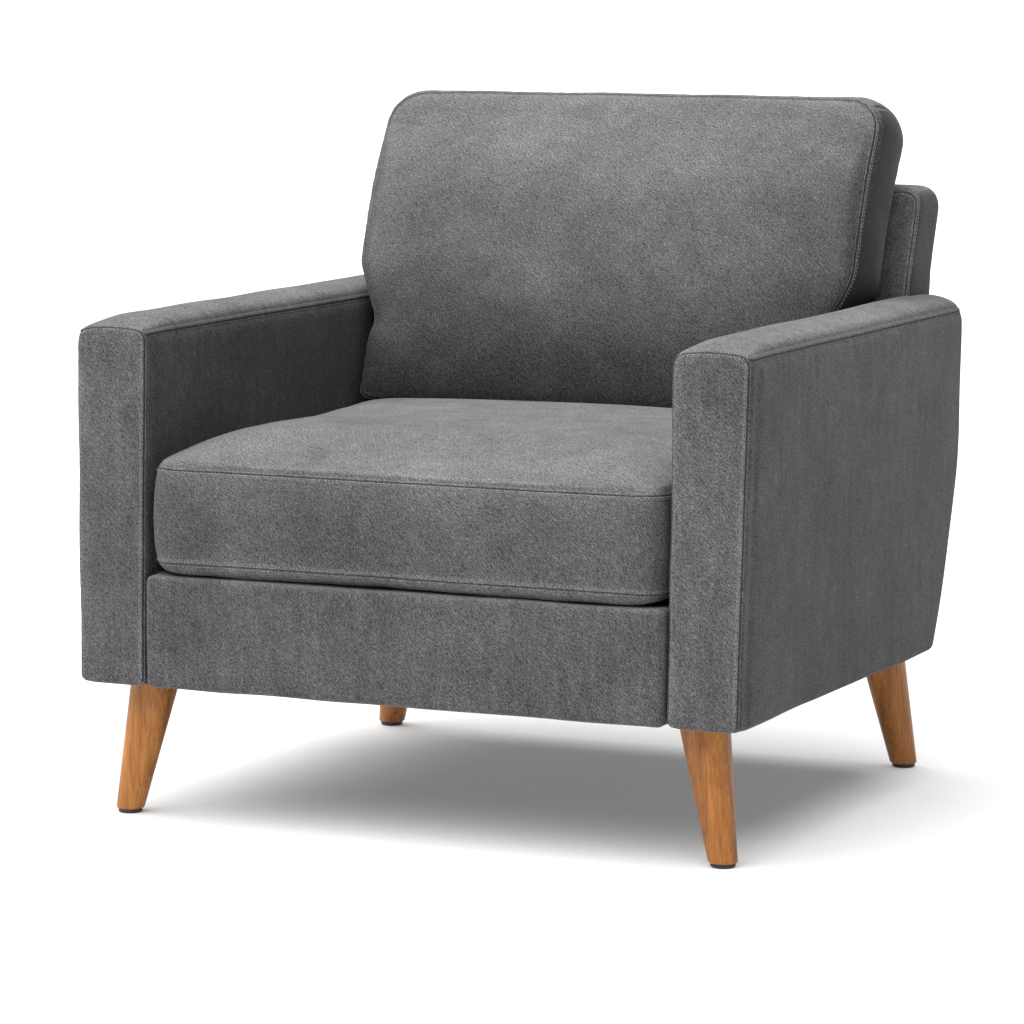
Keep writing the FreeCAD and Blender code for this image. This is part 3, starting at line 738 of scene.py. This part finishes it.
def arm_points(points):
    """Bends a block into the arm, which tapers, leans at its front, curves at its rear and has a crown."""
    x, y, z = points.T.copy()
    middle = (ARM_LOW.x + ARM_HIGH.x) / 2
    half = (ARM_HIGH.x - ARM_LOW.x) / 2
    tall = ARM_HIGH.z - ARM_LOW.z
    for edge in (-half, half):
        offset, z = round_corner(x - middle, z, edge, ARM_SEAM_TOP, ARM_FACE_CORNER)
        offset, drop = round_corner(offset, ARM_HIGH.z - z, edge, tall + HEM, ARM_FOOT_CORNER)
        x = middle + offset
        z = ARM_HIGH.z - drop
    t = (z - ARM_LOW.z) / (ARM_SEAM_TOP - ARM_LOW.z)
    across = (x - ARM_LOW.x) / (ARM_HIGH.x - ARM_LOW.x)
    along = (y - ARM_FRONT) / (ARM_HIGH.y - ARM_FRONT)
    x = ARM_LOW.x + across * (ARM_HIGH.x - ARM_LOW.x - ARM_TAPER * (1 - t))
    front = ARM_FRONT - ARM_LEAN * (1 - t)
    y = front + along * (arm_rear(z) - front)
    u = 2 * across - 1
    near_front = smooth_step(along, 0.0, 0.10)
    crown = ARM_CROWN * (0.42 + 0.58 * near_front) * (1 - np.abs(u) ** 2.5)
    z = z + crown * smooth_step(t, 0.80, 1.0)
    body = (1 - (2 * along - 1) ** 8) * (1 - (2 * t - 1) ** 8)
    proud = ARM_PROUD * (1 + body)
    x = x + proud * smooth_step(across, 0.6, 1.0) - 1.5 * MM * body * smooth_step(-across, -0.4, 0)
    y = y - ARM_FACE_PUFF * (1 - u**2) * (1 - (2 * t - 1) ** 6) * smooth_step(-along, -0.05, 0)
    y, drop = round_corner(y, ARM_HIGH.z - z, arm_rear(ARM_LOW.z), tall, ARM_REAR_CORNER)
    return np.column_stack([x, y, ARM_HIGH.z - drop])


def soft_waves(points, out, scale, height, seed):
    """Slow uneven waves, as stretched cloth over foam has."""
    shift = Vector((seed * 3.1, seed * 1.7, seed * 5.3))
    waves = np.array([noise.noise(Vector(p) * scale + shift) for p in points])
    return points + out * (waves * height)[:, None]


def mirror_points(points, sign):
    points = np.array(points, float)
    points[:, 0] *= sign
    return points


def build_arm(side, sign):
    low = (ARM_LOW.x, ARM_FRONT, ARM_LOW.z - HEM)
    high = (ARM_HIGH.x, ARM_HIGH.y, ARM_SEAM_TOP)
    points, faces = rounded_block(low, high, ARM_RADIUS, ARM_STEP, square=1)
    points = mirror_points(arm_points(points), sign)
    arm = make_object(f"arm_upholstery_{side}", points, faces, FABRIC_SIDE, "frame")
    tidy_normals(arm)
    set_coordinates(arm, soft_waves(coordinates(arm), normals(arm), 9.0, 1.6 * MM, 2 + sign))
    inset = 3 * MM
    drop = 4 * MM
    heights = np.linspace(ARM_LOW.z, ARM_SEAM_TOP - inset, 80)
    tops = np.linspace(ARM_LOW.x + inset, ARM_HIGH.x - inset, 24)
    up = [(ARM_LOW.x + inset, ARM_FRONT, z) for z in heights]
    over = [(x, ARM_FRONT, ARM_SEAM_TOP - inset) for x in tops]
    down = [(ARM_HIGH.x - inset, ARM_FRONT, z) for z in heights[::-1]]
    face = mirror_points(arm_points(np.array(up + over[1:-1] + down)), sign)
    depths = np.linspace(ARM_FRONT + 6 * MM, ARM_HIGH.y - 2 * MM, 90)
    outer = arm_points(np.array([(ARM_HIGH.x, y, ARM_SEAM_TOP - drop) for y in depths]))
    shown = depths[depths < BACK_LOW.y + 20 * MM]
    inner = arm_points(np.array([(ARM_LOW.x, y, ARM_SEAM_TOP - drop) for y in shown]))
    outer = mirror_points(outer, sign)
    inner = mirror_points(inner, sign)
    press_seam(arm, face, False, 1.8 * MM, 11 * MM, 0.2 * MM)
    press_seam(arm, outer, False, 1.3 * MM, 9 * MM, 0.3 * MM)
    press_seam(arm, inner, False, 1.3 * MM, 9 * MM, 0.3 * MM)
    for edge in (ARM_LOW.x, ARM_HIGH.x):
        beside = [(edge, ARM_FRONT + ARM_DENT_BACK, z) for z in heights[:-3]]
        press_dent(arm, mirror_points(arm_points(np.array(beside)), sign), 2.0 * MM, 8 * MM)
    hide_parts(f"arm_cover_{side}", f"arm_foam_{side}")
    surface = Surface(arm, ARM_PILE_AND_SHADE)
    lay_seam(surface, f"arm_face_seam_{side}", face, False, flip=sign > 0)
    lay_seam(surface, f"arm_outer_seam_{side}", outer, False, flip=sign < 0)
    lay_seam(surface, f"arm_inner_seam_{side}", inner, False, flip=sign > 0)


# ---------------------------------------------------------------- front panel

# Painted shade on the panel's sides and front, partly standing for the pile: (sideways, front, foot).
PANEL_PILE_AND_SHADE = (0.1, 0.13, 0.0)


def build_panel():
    low = (-PANEL_HIGH.x, PANEL_LOW.y, PANEL_LOW.z - HEM)
    high = (PANEL_HIGH.x, PANEL_HIGH.y, PANEL_HIGH.z)
    points, faces = rounded_block(low, high, 9 * MM, 8 * MM)
    x, y, z = points.T
    t = (z - low[2]) / (high[2] - low[2])
    u = x / high[0]
    y = y + 1.5 * MM - 1.5 * MM * (1 - u**6) * (1 - (2 * t - 1) ** 4)
    points = np.column_stack([x, y, z])
    panel = make_object("front_panel_upholstery", points, faces, FABRIC_SIDE, "frame")
    tidy_normals(panel)
    set_coordinates(panel, soft_waves(coordinates(panel), normals(panel), 11.0, 1.2 * MM, 5))
    lay_pile_and_shade(panel, PANEL_PILE_AND_SHADE)
    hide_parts("front_panel_cover", "front_panel_foam")


# ---------------------------------------------------------------- back

BACK_TOP_RADIUS = 24 * MM
BACK_EDGE = 12 * MM
KINK = 0.603
# Painted shade on the back's sides, and on its front a painted shadow of the back cushion: (sideways, front,
# foot).
BACK_PILE_AND_SHADE = (0.52, 0.25, 0.0)
BACK_PUFF = 4 * MM
# Height and depth of points down the front and the rear of the back, which leans away above its kink.
BACK_FRONT = [(BACK_LOW.z, 0.266), (KINK - 0.02, 0.280), (KINK + 0.02, 0.2885), (BACK_HIGH.z, 0.332)]
BACK_REAR = [
    (BACK_LOW.z, 0.356), (KINK - 0.03, 0.3605), (KINK + 0.03, 0.369),
    (BACK_HIGH.z - 0.03, BACK_HIGH.y), (BACK_HIGH.z, BACK_HIGH.y - 4 * MM),
]


def depth_at(z, profile):
    heights, depths = zip(*profile)
    return np.interp(z, heights, depths)


def back_points(points):
    x, y, z = points.T.copy()
    half = BACK_HIGH.x
    x, z = round_corner(x, z, half, BACK_HIGH.z, BACK_TOP_RADIUS)
    x, z = round_corner(x, z, -half, BACK_HIGH.z, BACK_TOP_RADIUS)
    along = (y - BACK_LOW.y) / (BACK_HIGH.y - BACK_LOW.y)
    front = depth_at(z, BACK_FRONT)
    rear = depth_at(z, BACK_REAR)
    t = (z - BACK_LOW.z) / (BACK_HIGH.z - BACK_LOW.z)
    puff = BACK_PUFF * (1 - (x / half) ** 4) * (1 - (2 * t - 1) ** 4)
    y = front + along * (rear - front) + puff * smooth_step(along, 0.8, 1.0)
    return np.column_stack([x, y, z])


def back_outline(low, inset):
    """Points up one side, over two rounded corners and down the other side, as (x, z)."""
    half = BACK_HIGH.x - inset
    high = BACK_HIGH.z - inset
    radius = BACK_TOP_RADIUS - inset
    left = [(-half, z) for z in np.linspace(low, high - radius, 40)]
    angles = np.linspace(math.pi, math.pi / 2, 14)[1:]
    turn = [(-half + radius + radius * math.cos(a), high - radius + radius * math.sin(a)) for a in angles]
    top = [(x, high) for x in np.linspace(-half + radius, half - radius, 60)[1:]]
    half_outline = left + turn + top[:-1]
    return half_outline + [(-x, z) for x, z in (left + turn)[::-1]]


def build_back():
    low = (-BACK_HIGH.x, BACK_LOW.y, BACK_LOW.z)
    high = tuple(BACK_HIGH)
    points, faces = rounded_block(low, high, BACK_EDGE, 8 * MM, square=1)
    back = make_object("back_upholstery", back_points(points), faces, FABRIC_SIDE, "frame")
    tidy_normals(back)
    set_coordinates(back, soft_waves(coordinates(back), normals(back), 8.0, 1.6 * MM, 9))
    outline = back_outline(KINK - 60 * MM, 5 * MM)
    front_seam = [(x, depth_at(z, BACK_FRONT) - 1 * MM, z) for x, z in outline]
    outline = back_outline(BACK_LOW.z + 3 * MM, 10 * MM)
    rear_seam = [(x, depth_at(z, BACK_REAR) + 1 * MM, z) for x, z in outline]
    for path in (front_seam, rear_seam):
        press_seam(back, path, False)
    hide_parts("back_cover", "back_foam")
    surface = Surface(back, BACK_PILE_AND_SHADE)
    lay_seam(surface, "back_front_seam", front_seam, False)
    lay_seam(surface, "back_rear_seam", rear_seam, False, flip=True)


# ---------------------------------------------------------------- cushions


CLOTH_FRAMES = 20
CLOTH_PRESSURE = 2.2
CLOTH_SHRINK = -0.012
CLOTH_CAP = 9 * MM
SEAM_HOLD = 9 * MM


def cloth_settle(thing, seams):
    """Lets the cover's cloth swell against its seams, then keeps every point within the cap."""
    pins = {}
    for path in seams:
        pins.update(near_loop(coordinates(thing), path, True, SEAM_HOLD))
    start = coordinates(thing)
    group = thing.vertex_groups.new(name="seams")
    for index, weight in pins.items():
        group.add([index], weight, "REPLACE")
    modifier = thing.modifiers.new("Cloth", "CLOTH")
    settings = modifier.settings
    settings.quality = 6
    settings.mass = 0.3
    settings.air_damping = 2.0
    settings.tension_stiffness = 18
    settings.compression_stiffness = 18
    settings.shear_stiffness = 8
    settings.bending_stiffness = 0.9
    settings.use_pressure = True
    settings.uniform_pressure_force = CLOTH_PRESSURE
    settings.shrink_min = CLOTH_SHRINK
    settings.vertex_group_mass = "seams"
    settings.pin_stiffness = 2.0
    settings.effector_weights.gravity = 0
    modifier.collision_settings.use_collision = False
    modifier.collision_settings.use_self_collision = False
    scene = bpy.context.scene
    scene.frame_start = 1
    scene.frame_end = CLOTH_FRAMES
    for number in range(1, CLOTH_FRAMES + 1):
        scene.frame_set(number)
    apply_modifiers(thing)
    scene.frame_set(1)
    moved = coordinates(thing) - start
    length = np.linalg.norm(moved, axis=1, keepdims=True)
    moved *= np.minimum(1, CLOTH_CAP / np.maximum(length, 1e-9))
    set_coordinates(thing, start + evened(thing.data, moved, pins))


def evened(mesh, moved, pins, rounds=12):
    """Averages how far the points moved over their neighbours, except at the seams."""
    ends = np.empty(len(mesh.edges) * 2, dtype=np.int32)
    mesh.edges.foreach_get("vertices", ends)
    first, second = ends.reshape(-1, 2).T
    neighbours = np.bincount(ends, minlength=len(moved))[:, None]
    free = np.ones((len(moved), 1))
    free[list(pins)] = 0
    for _ in range(rounds):
        sums = np.zeros_like(moved)
        np.add.at(sums, first, moved[second])
        np.add.at(sums, second, moved[first])
        moved = moved + 0.5 * free * (sums / neighbours - moved)
    return moved


def bare_zip(thing, node, slope, reach):
    """Draws the cover in behind a zip, so that the tape and its slider lie on the surface."""
    low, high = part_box(node)
    x, y, z = coordinates(thing).T.copy()
    middle, half = (low.z + high.z) / 2, (high.z - low.z) / 2
    tape = high.y + (z - high.z) * slope - 0.6 * MM
    near = 1 - smooth_step(np.abs(z - middle), half + 2 * MM, half + reach)
    near *= 1 - smooth_step(np.abs(x), high.x + 3 * MM, high.x + reach)
    y = y - np.maximum(y - tape, 0) * near
    set_coordinates(thing, np.column_stack([x, y, z]))


def near_loop(points, path, closed, reach):
    """Indexes of the points that lie close to a path, with a weight that fades."""
    tree = path_tree(path, closed, 4 * MM)
    pins = {}
    for index, point in enumerate(points):
        _, _, distance = tree.find(Vector(point))
        if distance < reach:
            pins[index] = 1.0 - 0.6 * distance / reach
    return pins


SEAT_EDGE = 429 * MM
SEAT_FOOT = 313 * MM
SEAT_CROWN = 37 * MM
# Painted shade on the seat's sides and front, partly standing for the pile: (sideways, front, foot).
SEAT_PILE_AND_SHADE = (0.16, 0.10, 0.0)
SEAT_CORNER = 34 * MM
SEAT_BELLY = 18 * MM
SEAT_ROUND = 8 * MM
SEAT_SEAM_INSET = 2.5 * MM
SEAT_SEAM_DROP = 3 * MM
SEAT_SIDE_PUFF = 3.5 * MM
SEAT_FRONT_PUFF = 7 * MM
SEAT_REAR_SLOPE = 0.52


def seat_points(points):
    """Bends a block into the boxed seat cushion. The block runs from the lower seam to the upper seam."""
    x, y, z = points.T.copy()
    half = SEAT_HIGH.x
    middle = (SEAT_LOW.y + SEAT_HIGH.y) / 2
    reach = (SEAT_HIGH.y - SEAT_LOW.y) / 2
    y = y - middle
    for sign_x in (-1, 1):
        for sign_y in (-1, 1):
            x, y = round_corner(x, y, sign_x * half, sign_y * reach, SEAT_CORNER)
    u = x / half
    v = y / reach
    t = (z - SEAT_FOOT) / (SEAT_EDGE - SEAT_FOOT)
    shape = np.clip(1 - np.abs(u) ** 8, 0, 1) ** 0.55 * np.clip(1 - np.abs(v) ** 5.5, 0, 1) ** 0.6
    shape = shape * (1 - 0.10 * u**2)
    slope = 1 - SEAT_REAR_SLOPE * smooth_step(v, 0.36, 1.0)
    top = smooth_step(t, 0.86, 1.0)
    bottom = smooth_step(-t, -0.14, 0.0)
    belly = np.clip(1 - np.abs(u) ** 5, 0, 1) ** 0.5 * np.clip(1 - np.abs(v) ** 5.5, 0, 1) ** 0.12
    z = z + SEAT_CROWN * shape * slope * top - SEAT_BELLY * belly * bottom
    box = np.clip(1 - (2 * t - 1) ** 2, 0, 1)
    out_x, out_y, edge = outward(x, y, (half, reach), SEAT_CORNER)
    x = x + out_x * SEAT_SIDE_PUFF * box * edge
    y = y + out_y * SEAT_FRONT_PUFF * box * edge * (v < 0)
    return np.column_stack([x, y + middle, z])


def seat_loop(z):
    """Closed loop round the seat cushion at one height, with rounded corners."""
    half = SEAT_HIGH.x - SEAT_SEAM_INSET
    low_y = SEAT_LOW.y + SEAT_SEAM_INSET
    high_y = SEAT_HIGH.y - SEAT_SEAM_INSET
    loop = []
    corners = [(half, high_y, 0), (-half, high_y, 1), (-half, low_y, 2), (half, low_y, 3)]
    for x, y, quarter in corners:
        centre_x = x - math.copysign(SEAT_CORNER, x)
        centre_y = y - SEAT_CORNER if y == high_y else y + SEAT_CORNER
        for angle in np.linspace(quarter * math.pi / 2, (quarter + 1) * math.pi / 2, 10):
            spot_x = centre_x + SEAT_CORNER * math.cos(angle)
            spot_y = centre_y + SEAT_CORNER * math.sin(angle)
            loop.append((spot_x, spot_y, z))
    return loop


def build_seat():
    low = (-SEAT_HIGH.x, SEAT_LOW.y, SEAT_FOOT)
    high = (SEAT_HIGH.x, SEAT_HIGH.y, SEAT_EDGE)
    points, faces = rounded_block(low, high, SEAT_ROUND, 8 * MM, square=2)
    seat = make_object("seat_cushion", seat_points(points), faces, FABRIC_SEAT, "seat_cushion")
    tidy_normals(seat)
    top_seam = seat_loop(SEAT_EDGE - SEAT_SEAM_DROP)
    low_seam = seat_loop(SEAT_FOOT + SEAT_SEAM_DROP)
    cloth_settle(seat, (top_seam, low_seam))
    points = soft_waves(coordinates(seat), normals(seat), 7.0, 2.2 * MM, 4)
    points[:, 2] = np.maximum(points[:, 2], SEAT_LOW.z + 0.5 * MM)
    widest = SEAT_HIGH.x + 4.5 * MM
    points[:, 0] = np.clip(points[:, 0], -widest, widest)
    points[:, 1] = np.minimum(points[:, 1], SEAT_HIGH.y + 2 * MM)
    set_coordinates(seat, points)
    subdivide(seat)
    bare_zip(seat, "seat_cushion_zip_tape", 0.0, 26 * MM)
    for path in (top_seam, low_seam):
        press_seam(seat, path, True, pucker=0.5 * MM)
    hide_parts("seat_cushion_cover", "seat_cushion_filling")
    surface = Surface(seat, SEAT_PILE_AND_SHADE)
    lay_seam(surface, "seat_top_seam", top_seam, True, flip=True)
    lay_seam(surface, "seat_low_seam", low_seam, True)


REST_HALF = 343 * MM
REST_THICK = 88 * MM
REST_TALL = 388 * MM
# Painted shade on the back cushion's sides and front, partly standing for the pile, and painted shade at its
# foot.
REST_PILE_AND_SHADE = (0.62, 0.03, 0.38)
REST_CORNER = 46 * MM
REST_FOOT_CORNER = 14 * MM
REST_ROUND = 8 * MM
REST_BULGE = 34 * MM
REST_BOXING = 8 * MM
REST_REAR_BULGE = 10 * MM
REST_THINNING = 0.06
REST_TOP_FALL = 26 * MM
REST_SINK = 7 * MM
REST_SEAM_INSET = 5.5 * MM
REST_RAKE = math.atan2(REST_AXIS.y, REST_AXIS.z)
REST_BASE = Vector((0, 0.2245, REST_LOW.z - 1 * MM))


def lean(x, depth, up):
    """From the cushion's own place (across, forwards from its rear face, up) to the chair's."""
    y = REST_BASE.y - depth * math.cos(REST_RAKE) + up * math.sin(REST_RAKE)
    z = REST_BASE.z + depth * math.sin(REST_RAKE) + up * math.cos(REST_RAKE)
    return np.column_stack([x, y, z])


def settled(depth, t):
    """How far the foot of the cushion drops at its front to lie on the seat."""
    sink = REST_SINK * smooth_step(depth / REST_THICK, 0.3, 1.0)
    return (depth * math.tan(REST_RAKE) + sink) * (1 - smooth_step(t, 0.0, 0.5))


def squeezed(t):
    """The cushion narrows between the arms, most of all just below their tops."""
    return 1 - 0.074 * smooth_step(-t, -0.41, -0.24) - 0.018 * np.exp(-(((t - 0.235) / 0.035) ** 2))


def slumped(depth, d, t):
    """The cushion is a little thinner at its foot, and its top falls back over the frame."""
    thin = REST_THINNING * (1 - smooth_step(t, 0.1, 0.6))
    depth = depth * (1 - thin * smooth_step(d, 0.0, 1.0))
    return depth - REST_TOP_FALL * smooth_step(t, 0.62, 1.15)


def rest_points(points):
    """Bends an upright block (x, depth forwards, up) into the leaning back cushion."""
    x, depth, up = points.T.copy()
    x, up = round_corner(x, up, REST_HALF, REST_TALL, REST_CORNER)
    x, up = round_corner(x, up, -REST_HALF, REST_TALL, REST_CORNER)
    middle = REST_TALL / 2
    for sign in (-1, 1):
        x, drop = round_corner(x, middle - up, sign * REST_HALF, middle, REST_FOOT_CORNER)
        up = middle - drop
    t = up / REST_TALL
    d = depth / REST_THICK
    u = x / REST_HALF
    v = 2 * t - 1
    shape = np.clip(1 - np.abs(u) ** 4.5, 0, 1) ** 0.7 * np.clip(1 - np.abs(v) ** 4.5, 0, 1) ** 0.7
    forward = smooth_step(d, 0.88, 1.0)
    backward = smooth_step(-d, -0.12, 0.0)
    depth = depth + REST_BULGE * shape * (1.25 - 0.5 * t) * forward
    free = smooth_step(t, 0.72, 0.95)
    depth = depth - REST_REAR_BULGE * shape * free * backward
    depth = slumped(depth, d, t)
    out_x, out_up, edge = outward(x, up - middle, (REST_HALF, middle), REST_CORNER)
    box = np.clip(1 - (2 * d - 1) ** 2, 0, 1) * edge * smooth_step(t, 0.30, 0.45)
    x = x * squeezed(t) + out_x * REST_BOXING * box
    up = up - settled(depth, t) + out_up * REST_BOXING * box
    return lean(x, depth, up)


def rest_loop(depth):
    """Closed loop round the back cushion at one depth, before it is bent."""
    half = REST_HALF - REST_SEAM_INSET
    low = REST_SEAM_INSET
    high = REST_TALL - REST_SEAM_INSET
    corners = [
        (half, high, REST_CORNER, 0), (-half, high, REST_CORNER, 1),
        (-half, low, REST_FOOT_CORNER, 2), (half, low, REST_FOOT_CORNER, 3),
    ]
    loop = []
    for x, up, radius, quarter in corners:
        centre_x = x - math.copysign(radius, x)
        centre_up = up - radius if up == high else up + radius
        for angle in np.linspace(quarter * math.pi / 2, (quarter + 1) * math.pi / 2, 12):
            spot_x = centre_x + radius * math.cos(angle)
            spot_up = centre_up + radius * math.sin(angle)
            loop.append((spot_x, depth, spot_up))
    return resample(loop, True, 8 * MM)


def rest_bend_only(points):
    """The same bending for a loop that is already rounded at its corners."""
    x, depth, up = points.T.copy()
    t = up / REST_TALL
    depth = slumped(depth, depth / REST_THICK, t)
    return lean(x * squeezed(t), depth, up - settled(depth, t))


def build_rest():
    low = (-REST_HALF, 0, 0)
    high = (REST_HALF, REST_THICK, REST_TALL)
    points, faces = rounded_block(low, high, REST_ROUND, 8 * MM, square=1)
    rest = make_object("back_cushion", rest_points(points), faces, FABRIC_SEAT, "back_cushion")
    tidy_normals(rest)
    front_seam = rest_bend_only(rest_loop(REST_THICK + 1 * MM))
    rear_seam = rest_bend_only(rest_loop(3 * MM))
    cloth_settle(rest, (front_seam, rear_seam))
    set_coordinates(rest, soft_waves(coordinates(rest), normals(rest), 7.0, 2.4 * MM, 7))
    subdivide(rest)
    bare_zip(rest, "back_cushion_zip_tape", math.tan(REST_RAKE), 26 * MM)
    for path in (front_seam, rear_seam):
        press_seam(rest, path, True, 1.5 * MM, 11 * MM, 0.45 * MM, gather=22 * MM)
    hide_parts("back_cushion_cover", "back_cushion_filling")
    surface = Surface(rest, REST_PILE_AND_SHADE)
    lay_seam(surface, "rest_front_seam", front_seam, True, flip=True)
    lay_seam(surface, "rest_rear_seam", rear_seam, True)


# ---------------------------------------------------------------- legs

LEG_TOP_RADIUS = 30 * MM
LEG_FOOT_RADIUS = 17 * MM
LEG_SPLAY = 30 * MM
LEG_KICK = 14 * MM
LEG_EASE = 2.2 * MM
LEG_BURIED = 2 * MM
LEG_SIDES = 72


def build_leg(pair, side, sign):
    """Round tapered leg between its two level cuts, with an eased edge at the foot."""
    node = f"leg_{pair}_{side}"
    low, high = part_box(node)
    kick = -LEG_KICK if pair == "front" else LEG_KICK
    foot_x = high.x - LEG_FOOT_RADIUS if sign > 0 else low.x + LEG_FOOT_RADIUS
    foot_y = low.y + LEG_FOOT_RADIUS if kick < 0 else high.y - LEG_FOOT_RADIUS
    foot = Vector((foot_x, foot_y, low.z))
    shown = (high.z - low.z) / (high.z + LEG_BURIED - low.z)
    top = foot + Vector((-sign * LEG_SPLAY, -kick, 0)) * shown
    top.z = high.z
    levels = [low.z, low.z + 0.4 * MM, low.z + 1.1 * MM, low.z + LEG_EASE]
    levels += list(np.linspace(low.z + LEG_EASE, high.z, 40))[1:]
    sides = LEG_SIDES
    points = [foot]
    for z in levels:
        t = (z - low.z) / (high.z - low.z)
        radius = LEG_FOOT_RADIUS + (LEG_TOP_RADIUS - LEG_FOOT_RADIUS) * t
        gone = max(0.0, 1 - (z - low.z) / LEG_EASE)
        radius -= LEG_EASE * (1 - math.sqrt(max(0.0, 1 - gone**2)))
        centre = foot.lerp(top, t)
        for index in range(sides):
            angle = 2 * math.pi * index / sides
            x = centre.x + radius * math.cos(angle)
            y = centre.y + radius * math.sin(angle)
            points.append(Vector((x, y, z)))
    faces = []
    for index in range(sides):
        following = (index + 1) % sides
        faces.append((0, 1 + following, 1 + index))
        for ring in range(len(levels) - 1):
            a = 1 + ring * sides + index
            b = 1 + ring * sides + following
            faces.append((a, b, b + sides, a + sides))
    last = 1 + (len(levels) - 1) * sides
    faces.append(tuple(range(last, last + sides)))
    wood = oiled_wood(f"wood_{node}", (top - foot).normalized())
    leg = make_object(f"turned_{node}", points, faces, wood, "frame")
    leg.data.polygons[-1].use_smooth = False
    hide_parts(node)


# ---------------------------------------------------------------- the chair

make_camera()
make_studio()
finish_cad_nodes()
build_panel()
build_back()
for side_name, side_sign in (("left", -1), ("right", 1)):
    build_arm(side_name, side_sign)
    build_leg("front", side_name, side_sign)
    build_leg("rear", side_name, side_sign)
build_seat()
build_rest()
